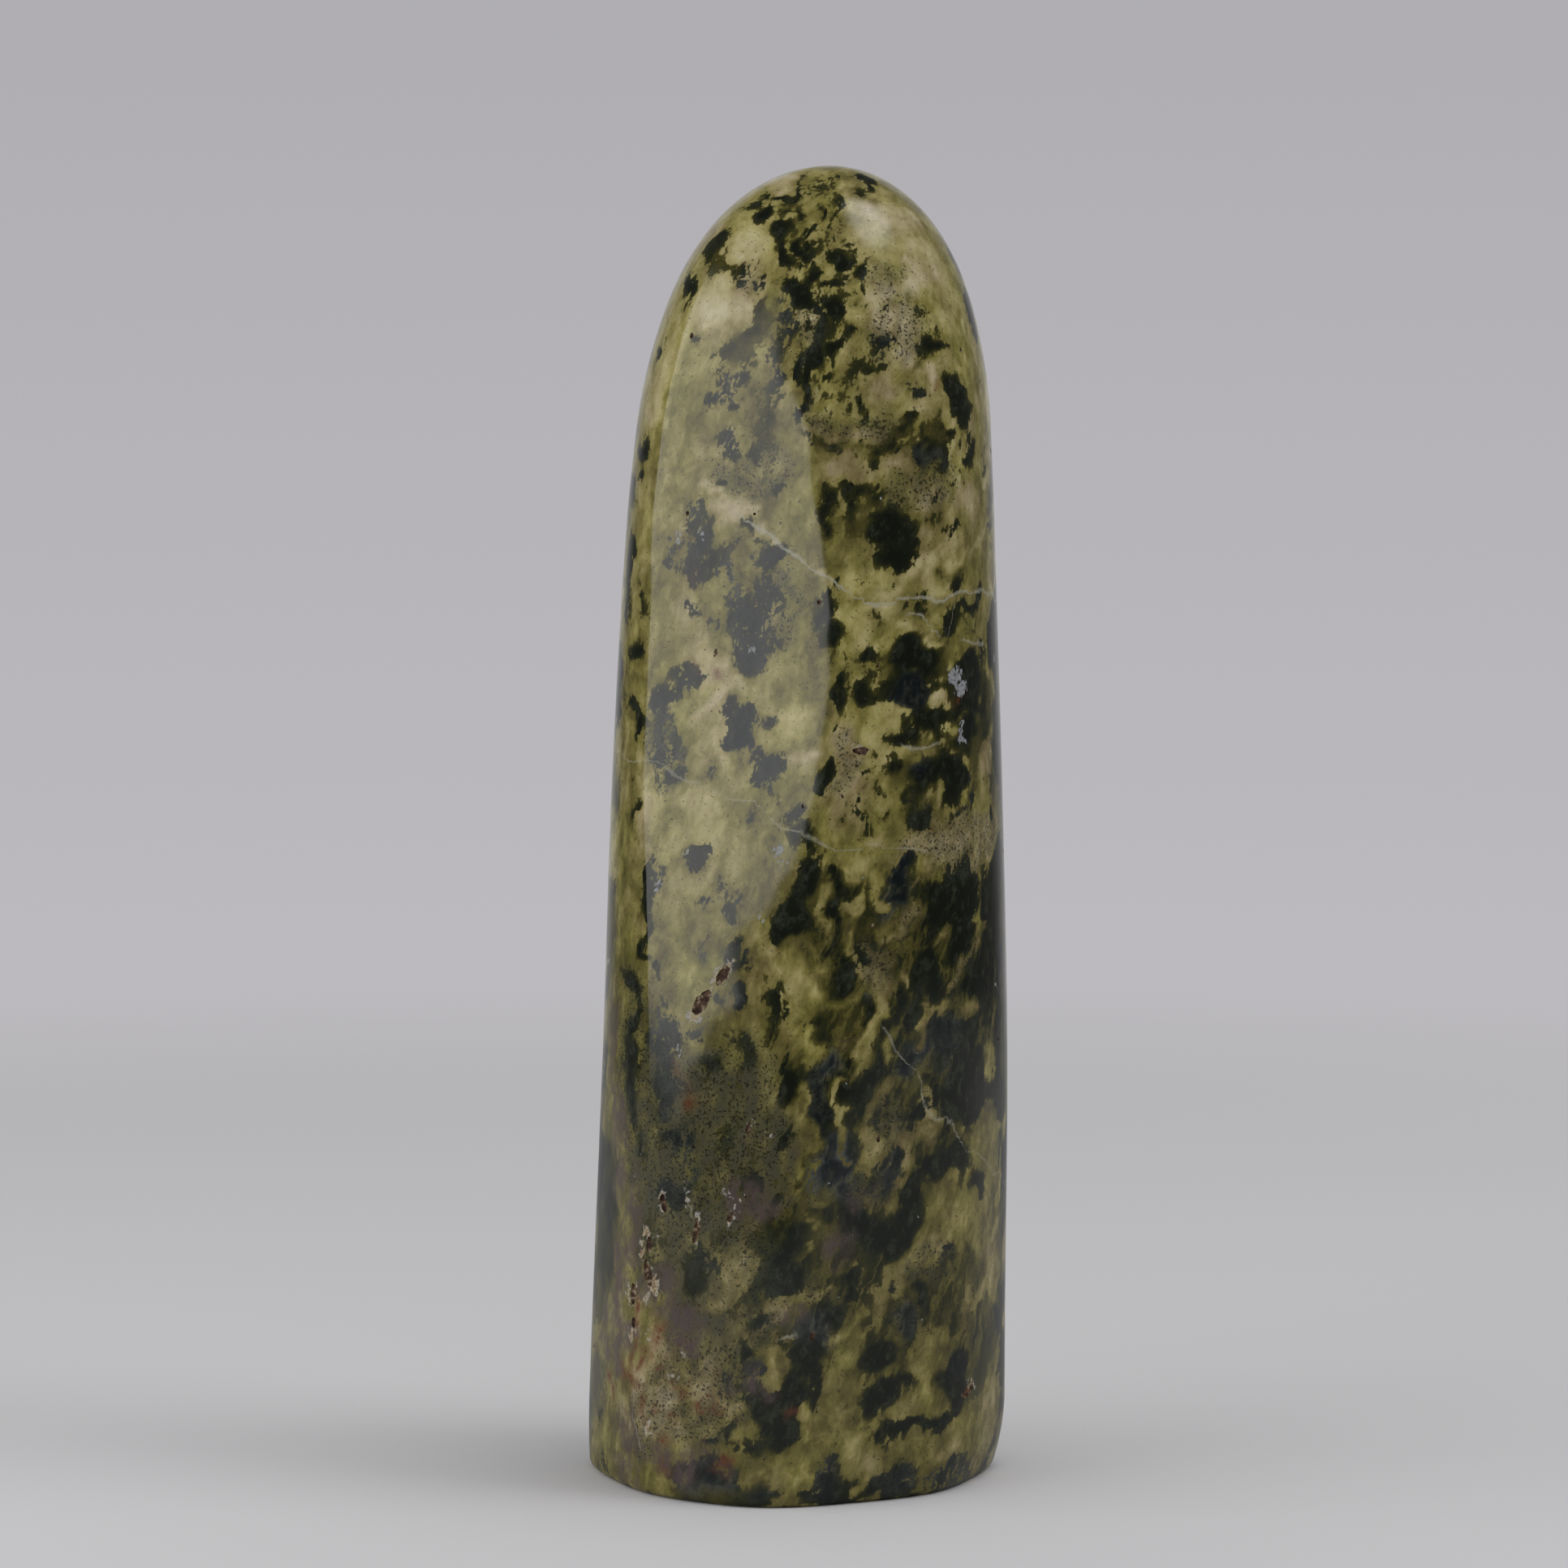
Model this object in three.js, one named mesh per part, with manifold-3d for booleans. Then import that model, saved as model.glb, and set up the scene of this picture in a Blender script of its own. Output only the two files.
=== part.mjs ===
// Serpentine tower: a free-form tower of serpentine, ground to a few soft faces, polished all
// over and sawn flat underneath. It is one piece of stone.
// Millimetres, +Z up. The origin is the middle of the flat base, and the front faces -Y.
import * as THREE from 'three';
import { mergeVertices } from 'three/addons/utils/BufferGeometryUtils.js';
import Module from 'manifold-3d';

// ---- Driving dimensions ------------------------------------------------------------------

const HEIGHT = 150;
const DOME_HEIGHT = 29.6; // the crown is a quarter ellipse that springs this far below the top
const CROWN = { x: 3.8, y: 2.5 }; // the top lies a little to the right of the middle
const FOOT_HEIGHT = 9; // the sides draw in below this height
const FOOT_DRAW = 1.6; // how far the right side draws in at the bottom
const FOOT_DRAW_LEFT = 0.25; // the left side draws in by this share of it
const EDGE_RADIUS = 1; // broken edge round the base

// Reach of the four sides from the axis at each height, before the crown closes them.
const SIDE_HEIGHTS = [0, 20, 50, 80, 110, 130, 150];
const LEFT_REACH = [-24.3, -23.5, -22.2, -21.1, -19.3, -17.3, -17.3];
const RIGHT_REACH = [24.1, 24.1, 24.2, 23.5, 22.5, 21.9, 22.9];
const FRONT_REACH = [-20, -20, -19.8, -19.2, -18.2, -17, -16];
const BACK_REACH = [21, 21, 20.6, 19.8, 18.6, 17.4, 16.5];

// The faces that were ground on the tower. turn is the heading of a face in degrees from the
// front towards the right, and stand its distance from the axis, both at FACE_HEIGHTS.
const FACE_HEIGHTS = [0, 30, 60, 90, 120, 150];
const FACE_SHARPNESS = 10; // higher leaves less rounding where two faces meet
const FACES = [
  { turn: [-35, -24, -19, -21.5, -20, -19], stand: [1.27, 1.05, 0.87, 0.78, 0.8, 0.86] },
  { turn: [27.5, 25, 24, 23, 22.5, 22], stand: [1.19, 1.09, 1.05, 1.04, 1.02, 1] },
  { turn: -112, stand: 1.18 },
  { turn: -74, stand: 1.06 },
  { turn: 72, stand: 1.02 },
  { turn: 110, stand: 1.1 },
  { turn: 165, stand: 1 },
  { turn: 215, stand: 1.03 },
];

// Natural pits that the polish did not take out, by heading in degrees and height of the
// middle. lean tips the long way clockwise from upright.
const PITS = [
  { heading: -37, height: 56, length: 3.6, width: 2.1, depth: 0.45, lean: 25 },
  { heading: -28, height: 59.5, length: 3, width: 1.4, depth: 0.35, lean: 25 },
  { heading: -46, height: 25, length: 3.4, width: 1.5, depth: 0.4, lean: -12 },
  { heading: -51.5, height: 23, length: 2.6, width: 1.7, depth: 0.4, lean: 5 },
  { heading: -43, height: 33.5, length: 2.4, width: 1.1, depth: 0.35, lean: -15 },
  { heading: -32, height: 31, length: 3.2, width: 0.9, depth: 0.3, lean: 10 },
  { heading: 16, height: 85.5, length: 1.3, width: 2.6, depth: 0.3, lean: 0 },
  { heading: 52, height: 11, length: 2.4, width: 1.6, depth: 0.35, lean: 25 },
];

const COLUMNS = 80; // facets round the tower
const SIDE_ROWS = 20; // rows of facets between the foot and the crown
const DOME_ROWS = 12;
const FOOT_LEVELS = [0, 0.15, 0.5, 1, 3.5, 6];
const PIT_SEGMENTS = { around: 12, down: 8 };

const STONE_FINISH = { color: 0x3f421f, roughness: 0.15, metalness: 0 };

// ---- Shape of the stone ------------------------------------------------------------------

const radians = THREE.MathUtils.degToRad;

// Smooth curve through values given at rising stations, with straight end tangents.
function smoothThrough(stations, values, at) {
  const last = stations.length - 1;
  const slope = (i) => {
    const from = Math.max(i - 1, 0);
    const to = Math.min(i + 1, last);
    return (values[to] - values[from]) / (stations[to] - stations[from]);
  };
  let i = 0;
  while (i < last - 1 && at >= stations[i + 1]) i += 1;
  const span = stations[i + 1] - stations[i];
  const t = THREE.MathUtils.clamp((at - stations[i]) / span, 0, 1);
  const ease = t * t * (3 - 2 * t);
  const bow = t * (1 - t);
  return values[i] * (1 - ease) + values[i + 1] * ease
    + span * bow * ((1 - t) * slope(i) - t * slope(i + 1));
}

// Distance of the ground outline from the axis, before it is stretched to the sides' reach.
function groundRadius(heading, height) {
  const at = (value) => (Array.isArray(value) ? smoothThrough(FACE_HEIGHTS, value, height) : value);
  const sum = FACES.reduce((total, face) => {
    const facing = Math.max(0, Math.cos(heading - radians(at(face.turn))));
    return total + (facing / at(face.stand)) ** FACE_SHARPNESS;
  }, 0);
  return sum ** (-1 / FACE_SHARPNESS);
}

// How far the side is drawn in at the foot, with the broken edge below EDGE_RADIUS.
function footDraw(heading, height) {
  const rise = Math.max(0, 1 - height / FOOT_HEIGHT);
  const rightness = Math.max(0, Math.sin(heading));
  const share = FOOT_DRAW_LEFT + (1 - FOOT_DRAW_LEFT) * rightness;
  const drop = Math.max(0, EDGE_RADIUS - height);
  const edge = EDGE_RADIUS - Math.sqrt(EDGE_RADIUS ** 2 - drop ** 2);
  return FOOT_DRAW * rise ** 2 * share + edge;
}

const RANGE_STEPS = 240;
const rangeCache = new Map();

// Lowest and highest x and y of the ground outline at a height, before stretching.
function groundRange(height) {
  if (!rangeCache.has(height)) {
    const range = new THREE.Box2();
    for (let i = 0; i < RANGE_STEPS; i += 1) {
      const heading = (2 * Math.PI * i) / RANGE_STEPS;
      const radius = groundRadius(heading, height);
      range.expandByPoint(
        new THREE.Vector2(radius * Math.sin(heading), -radius * Math.cos(heading)),
      );
    }
    rangeCache.set(height, range);
  }
  return rangeCache.get(height);
}

// Point of the polished surface at a heading and a height.
function surfacePoint(heading, height) {
  const radius = groundRadius(heading, height);
  const { min, max } = groundRange(height);
  const across = (radius * Math.sin(heading) - min.x) / (max.x - min.x);
  const along = (-radius * Math.cos(heading) - min.y) / (max.y - min.y);
  const [left, right, front, back] = [LEFT_REACH, RIGHT_REACH, FRONT_REACH, BACK_REACH].map(
    (reach) => smoothThrough(SIDE_HEIGHTS, reach, height),
  );

  const climb = Math.max(0, height - (HEIGHT - DOME_HEIGHT)) / DOME_HEIGHT;
  const closing = Math.sqrt(Math.max(0, 1 - climb * climb));
  const x = CROWN.x + (THREE.MathUtils.lerp(left, right, across) - CROWN.x) * closing;
  const y = CROWN.y + (THREE.MathUtils.lerp(front, back, along) - CROWN.y) * closing;

  const middle = new THREE.Vector3((left + right) / 2, (front + back) / 2, height);
  const point = new THREE.Vector3(x, y, height);
  const reach = point.distanceTo(middle);
  return point.lerp(middle, reach > 0 ? footDraw(heading, height) / reach : 0);
}

// Heights of the rings of corners, from the base to just under the crown.
function ringHeights() {
  const spring = HEIGHT - DOME_HEIGHT;
  const heights = [...FOOT_LEVELS];
  for (let i = 0; i < SIDE_ROWS; i += 1) {
    heights.push(THREE.MathUtils.lerp(FOOT_HEIGHT, spring, i / SIDE_ROWS));
  }
  for (let i = 0; i < DOME_ROWS; i += 1) {
    heights.push(spring + DOME_HEIGHT * Math.sin(((Math.PI / 2) * i) / DOME_ROWS));
  }
  return heights;
}

// Closed surface of the tower: rings of corners, a crown point and a flat base.
function towerGeometry() {
  const heights = ringHeights();
  const corners = heights.flatMap((height) => Array.from(
    { length: COLUMNS },
    (_, column) => surfacePoint((2 * Math.PI * column) / COLUMNS, height),
  ));
  const crown = corners.push(new THREE.Vector3(CROWN.x, CROWN.y, HEIGHT)) - 1;

  const triangles = [];
  for (let row = 0; row < heights.length - 1; row += 1) {
    for (let column = 0; column < COLUMNS; column += 1) {
      const low = row * COLUMNS + column;
      const lowNext = row * COLUMNS + ((column + 1) % COLUMNS);
      triangles.push(low, lowNext, low + COLUMNS);
      triangles.push(lowNext, lowNext + COLUMNS, low + COLUMNS);
    }
  }
  const lastRing = (heights.length - 1) * COLUMNS;
  for (let column = 0; column < COLUMNS; column += 1) {
    triangles.push(lastRing + column, lastRing + ((column + 1) % COLUMNS), crown);
  }
  const rim = corners.slice(0, COLUMNS).map(({ x, y }) => new THREE.Vector2(x, y));
  THREE.ShapeUtils.triangulateShape(rim, []).forEach(([a, b, c]) => triangles.push(a, c, b));

  return new THREE.BufferGeometry().setFromPoints(corners).setIndex(triangles);
}

// Ellipsoid that takes one pit out of the surface, with its middle on the surface.
function pitGeometry({ heading, height, length, width, depth, lean }) {
  const step = 0.01;
  const turn = radians(heading);
  const place = surfacePoint(turn, height);
  const sideways = surfacePoint(turn + step, height).sub(place).normalize();
  const upwards = surfacePoint(turn, height + 1).sub(place);
  const outwards = new THREE.Vector3().crossVectors(sideways, upwards).normalize();
  const long = new THREE.Vector3().crossVectors(outwards, sideways);
  const frame = new THREE.Matrix4().makeBasis(sideways, long, outwards);

  return new THREE.SphereGeometry(1, PIT_SEGMENTS.around, PIT_SEGMENTS.down)
    .scale(width / 2, length / 2, depth)
    .rotateZ(-radians(lean))
    .applyMatrix4(frame)
    .translate(place.x, place.y, place.z);
}

// ---- Cutting the pits --------------------------------------------------------------------

const wasm = await Module();
wasm.setup();

function toSolid(geometry) {
  const bare = geometry.clone();
  bare.deleteAttribute('normal');
  bare.deleteAttribute('uv');
  const merged = mergeVertices(bare);
  return new wasm.Manifold(new wasm.Mesh({
    numProp: 3,
    vertProperties: new Float32Array(merged.getAttribute('position').array),
    triVerts: new Uint32Array(merged.getIndex().array),
  }));
}

function toGeometry(solid) {
  const { vertProperties, triVerts } = solid.getMesh();
  const geometry = new THREE.BufferGeometry();
  geometry.setAttribute('position', new THREE.BufferAttribute(vertProperties, 3));
  geometry.setIndex(new THREE.BufferAttribute(triVerts, 1));
  return geometry;
}

// The tower with its pits, moved so that the middle of its box stands on the origin.
function stoneGeometry() {
  const whole = toSolid(towerGeometry());
  const pitted = PITS.reduce((stone, pit) => stone.subtract(toSolid(pitGeometry(pit))), whole);
  const geometry = toGeometry(pitted);
  geometry.computeBoundingBox();
  const middle = geometry.boundingBox.getCenter(new THREE.Vector3());
  geometry.translate(-middle.x, -middle.y, 0);
  geometry.computeVertexNormals();
  return geometry;
}

const stone = new THREE.Mesh(stoneGeometry(), new THREE.MeshStandardMaterial(STONE_FINISH));
stone.name = 'serpentine_tower';

const tower = new THREE.Group();
tower.add(stone);

export default tower;
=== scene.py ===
"""Polished serpentine tower: the looks of one free-form standing stone, built round its CAD frame."""
import logging
import math
from collections.abc import Callable, Sequence
from dataclasses import dataclass, field
from enum import Enum
from functools import cached_property, partial

import bpy
import numpy as np
from mathutils import Matrix, Vector
from mathutils.kdtree import KDTree


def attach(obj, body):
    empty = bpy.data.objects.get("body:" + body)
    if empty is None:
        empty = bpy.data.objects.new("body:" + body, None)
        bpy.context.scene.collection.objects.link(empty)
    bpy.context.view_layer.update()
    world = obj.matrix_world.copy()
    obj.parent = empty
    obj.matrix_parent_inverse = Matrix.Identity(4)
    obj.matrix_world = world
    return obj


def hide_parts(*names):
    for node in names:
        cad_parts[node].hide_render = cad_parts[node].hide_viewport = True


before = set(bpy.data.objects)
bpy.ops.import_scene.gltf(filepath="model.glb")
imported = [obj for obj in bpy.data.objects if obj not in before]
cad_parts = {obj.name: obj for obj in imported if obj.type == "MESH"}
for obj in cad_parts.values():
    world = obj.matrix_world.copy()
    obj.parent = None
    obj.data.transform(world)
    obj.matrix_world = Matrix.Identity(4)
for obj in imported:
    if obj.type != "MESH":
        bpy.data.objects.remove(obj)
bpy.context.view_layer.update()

log = logging.getLogger("serpentine_tower")

NODE = "serpentine_tower"
MM = 0.001
MATH = "ShaderNodeMath"
VECTOR = "ShaderNodeVectorMath"
MIX = "ShaderNodeMix"
RANGE = "ShaderNodeMapRange"
NOISE = "ShaderNodeTexNoise"
CELLS = "ShaderNodeTexVoronoi"


# ---- Helpers ---------------------------------------------------------------------------------


def linear(code: str) -> tuple[float, float, float, float]:
    """Turns an sRGB hex value into a linear colour.

    Args:
        code: Six hex digits, such as "6B6433".

    Returns:
        Linear red, green, blue and an alpha of 1.
    """
    parts = [int(code[i:i + 2], 16) / 255 for i in (0, 2, 4)]
    red, green, blue = (c / 12.92 if c <= 0.04045 else ((c + 0.055) / 1.055) ** 2.4 for c in parts)
    return red, green, blue, 1.0


def grain(size_mm: float) -> float:
    """Texture scale, per metre, whose grains are this many millimetres across."""
    return 1.0 / (size_mm * MM)


def add_node(tree: bpy.types.NodeTree, kind: str, inputs: dict | Sequence = (),
             output: str | None = None, **settings: object) -> bpy.types.NodeSocket | None:
    """Adds a node, with its settings and links.

    Args:
        tree: The node tree that gets the node.
        kind: The node's type.
        inputs: Values, or sockets that feed them, by the input's name or number or in order.
        output: Name of the output that is wanted; the first one in use if left out.
        settings: Properties of the node.

    Returns:
        The wanted output socket, or None on a node without outputs.
    """
    node = tree.nodes.new(kind)
    for name, value in settings.items():
        setattr(node, name, value)
    named = inputs if isinstance(inputs, dict) else dict(enumerate(inputs))
    for name, value in named.items():
        socket = (node.inputs[name] if isinstance(name, int)
                  else next(s for s in node.inputs if s.name == name and s.enabled))
        if isinstance(value, bpy.types.NodeSocket):
            tree.links.new(value, socket)
        else:
            socket.default_value = value
    outs = [s for s in node.outputs if s.enabled and output in (None, s.name)]
    return outs[0] if outs else None


def empty_nodes(
        owner: bpy.types.Material | bpy.types.World | bpy.types.Light) -> Callable[..., object]:
    """Clears the nodes of a material, a world or a lamp.

    Args:
        owner: What the nodes belong to.

    Returns:
        add_node for its tree.
    """
    owner.use_nodes = True
    owner.node_tree.nodes.clear()
    return partial(add_node, owner.node_tree)


def mesh_object(name: str, vertices: np.ndarray, faces: Sequence[Sequence[int]]) -> bpy.types.Object:
    """Makes a smooth-shaded mesh object at the origin.

    Args:
        name: Name of the object and its mesh.
        vertices: Corner places in metres, one row each.
        faces: Corner numbers of each face.

    Returns:
        The object, linked to the scene.
    """
    mesh = bpy.data.meshes.new(name)
    mesh.from_pydata(vertices.tolist(), [], faces)
    mesh.shade_smooth()
    thing = bpy.data.objects.new(name, mesh)
    bpy.context.scene.collection.objects.link(thing)
    return thing


def bake_modifiers(thing: bpy.types.Object) -> None:
    """Turns an object's modified shape into its plain mesh and removes the modifiers."""
    graph = bpy.context.evaluated_depsgraph_get()
    mesh = bpy.data.meshes.new_from_object(thing.evaluated_get(graph), depsgraph=graph)
    mesh.name = thing.name
    thing.modifiers.clear()
    thing.data = mesh


def smooth_step(low: float, high: float, value: np.ndarray) -> np.ndarray:
    """Eases from 0 at low to 1 at high."""
    t = np.clip((value - low) / (high - low), 0, 1)
    return t * t * (3 - 2 * t)


@dataclass(frozen=True)
class Ripple:
    """Smooth random field in space: sums of sine waves with seeded headings.

    Attributes:
        size: Rough distance between its humps, in mm.
        seed: Seed of the waves.
        waves: Number of waves that are added.
        paces: Slowest and fastest wave, as shares of the pace that the size gives.
    """

    size: float
    seed: int
    waves: int = 14
    paces: tuple[float, float] = (0.6, 1.6)

    def at(self, points: np.ndarray) -> np.ndarray:
        """Value at each point.

        Args:
            points: Places in mm, one row each.

        Returns:
            One value for each point, with a spread of about 1.
        """
        rng = np.random.default_rng(self.seed)
        headings = rng.normal(size=(self.waves, 3))
        headings /= np.linalg.norm(headings, axis=1, keepdims=True)
        stretch = rng.uniform(*self.paces, self.waves)
        shift = rng.uniform(0, 2 * math.pi, self.waves)
        total = np.zeros(len(points))
        for heading, pace, start in zip(headings, stretch, shift):
            total += np.sin(points @ heading * (pace * math.pi / self.size) + start)
        return total * math.sqrt(2 / self.waves)


# ---- Shape of the stone ----------------------------------------------------------------------


@dataclass(frozen=True)
class GroundFace:
    """One soft face ground on the tower.

    Attributes:
        turn: Heading in degrees from the front towards the right, at each face height.
        stand: Distance from the axis at each face height, as a share.
    """

    turn: tuple[float, ...]
    stand: tuple[float, ...]


@dataclass(frozen=True)
class StoneForm:
    """Form of the tower, in mm, the same rule as its CAD solid with a finer skin.

    The left and right reach, the first two faces, the dome's height and the crown's x are the
    rounded result of a least-squares solver. The other values were chosen one by one.

    Attributes:
        dome_height: Height of the crown, a quarter ellipse.
        crown: Where the top lies, x and y.
        foot_height: Height below which the sides draw in.
        foot_draw: How far the right side draws in at the bottom.
        foot_draw_left: Share of that by which the left side does.
        edge_radius: Broken edge round the base.
        side_heights: Heights at which the reach of the four sides is given.
        face_heights: Heights at which the faces are given.
        sharpness: Higher leaves less rounding where two faces meet.
        range_steps: Places round the outline at which its extent is measured.
    """

    height: float = 150
    dome_height: float = 29.6
    crown: tuple[float, float] = (3.8, 2.5)
    foot_height: float = 9
    foot_draw: float = 1.6
    foot_draw_left: float = 0.25
    edge_radius: float = 1
    side_heights: tuple[float, ...] = (0, 20, 50, 80, 110, 130, 150)
    left_reach: tuple[float, ...] = (-24.3, -23.5, -22.2, -21.1, -19.3, -17.3, -17.3)
    right_reach: tuple[float, ...] = (24.1, 24.1, 24.2, 23.5, 22.5, 21.9, 22.9)
    front_reach: tuple[float, ...] = (-20, -20, -19.8, -19.2, -18.2, -17, -16)
    back_reach: tuple[float, ...] = (21, 21, 20.6, 19.8, 18.6, 17.4, 16.5)
    face_heights: tuple[float, ...] = (0, 30, 60, 90, 120, 150)
    sharpness: float = 10
    faces: tuple[GroundFace, ...] = (
        GroundFace((-35, -24, -19, -21.5, -20, -19), (1.27, 1.05, 0.87, 0.78, 0.8, 0.86)),
        GroundFace((27.5, 25, 24, 23, 22.5, 22), (1.19, 1.09, 1.05, 1.04, 1.02, 1)),
        GroundFace((-112,) * 6, (1.18,) * 6),
        GroundFace((-74,) * 6, (1.06,) * 6),
        GroundFace((72,) * 6, (1.02,) * 6),
        GroundFace((110,) * 6, (1.1,) * 6),
        GroundFace((165,) * 6, (1,) * 6),
        GroundFace((215,) * 6, (1.03,) * 6),
    )
    range_steps: int = 240

    @staticmethod
    def smooth_through(stations: Sequence[float], values: Sequence[float], at: np.ndarray) -> np.ndarray:
        """Smooth curve through values at rising stations, with straight end tangents."""
        s = np.asarray(stations, float)
        v = np.asarray(values, float)
        slope = np.gradient(v, s, edge_order=1)
        slope[1:-1] = (v[2:] - v[:-2]) / (s[2:] - s[:-2])
        i = np.clip(np.searchsorted(s, at, side="right") - 1, 0, len(s) - 2)
        span = s[i + 1] - s[i]
        t = np.clip((at - s[i]) / span, 0, 1)
        ease = t * t * (3 - 2 * t)
        bow = t * (1 - t)
        ends = v[i] * (1 - ease) + v[i + 1] * ease
        return ends + span * bow * ((1 - t) * slope[i] - t * slope[i + 1])

    def ground_radius(self, heading: np.ndarray, height: np.ndarray) -> np.ndarray:
        """Distance of the ground outline from the axis, before it is stretched to the sides."""
        total = np.zeros(np.broadcast(heading, height).shape)
        for face in self.faces:
            turn = np.radians(self.smooth_through(self.face_heights, face.turn, height))
            stand = self.smooth_through(self.face_heights, face.stand, height)
            total += (np.maximum(0, np.cos(heading - turn)) / stand) ** self.sharpness
        return total ** (-1 / self.sharpness)

    def ring(self, heading: np.ndarray, height: float) -> np.ndarray:
        """Points of the polished surface at one height.

        Args:
            heading: Headings in radians from the front towards the right.
            height: Height above the base in mm.

        Returns:
            One x, y, z row for each heading, in mm.
        """
        level = np.array(float(height))
        every = np.linspace(0, 2 * math.pi, self.range_steps, endpoint=False)
        whole = self.ground_radius(every, level)
        wide = whole * np.sin(every)
        deep = -whole * np.cos(every)
        radius = self.ground_radius(heading, level)
        across = (radius * np.sin(heading) - wide.min()) / np.ptp(wide)
        along = (-radius * np.cos(heading) - deep.min()) / np.ptp(deep)
        left, right, front, back = (
            float(self.smooth_through(self.side_heights, reach, level))
            for reach in (self.left_reach, self.right_reach, self.front_reach, self.back_reach)
        )
        climb = max(0.0, height - (self.height - self.dome_height)) / self.dome_height
        closing = math.sqrt(max(0.0, 1 - climb * climb))
        x = self.crown[0] + (left + (right - left) * across - self.crown[0]) * closing
        y = self.crown[1] + (front + (back - front) * along - self.crown[1]) * closing
        middle_x = (left + right) / 2
        middle_y = (front + back) / 2
        reach = np.maximum(np.hypot(x - middle_x, y - middle_y), 1e-6)
        keep = 1 - self.foot_in(heading, height) / reach
        return np.stack([
            middle_x + (x - middle_x) * keep,
            middle_y + (y - middle_y) * keep,
            np.full_like(x, height),
        ], axis=-1)

    def foot_in(self, heading: np.ndarray, height: float) -> np.ndarray:
        """How far the side draws in at the foot, with the broken edge, in mm."""
        rise = max(0.0, 1 - height / self.foot_height)
        share = self.foot_draw_left + (1 - self.foot_draw_left) * np.maximum(0, np.sin(heading))
        drop = max(0.0, self.edge_radius - height)
        edge = self.edge_radius - math.sqrt(self.edge_radius ** 2 - drop ** 2)
        return self.foot_draw * rise ** 2 * share + edge


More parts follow.
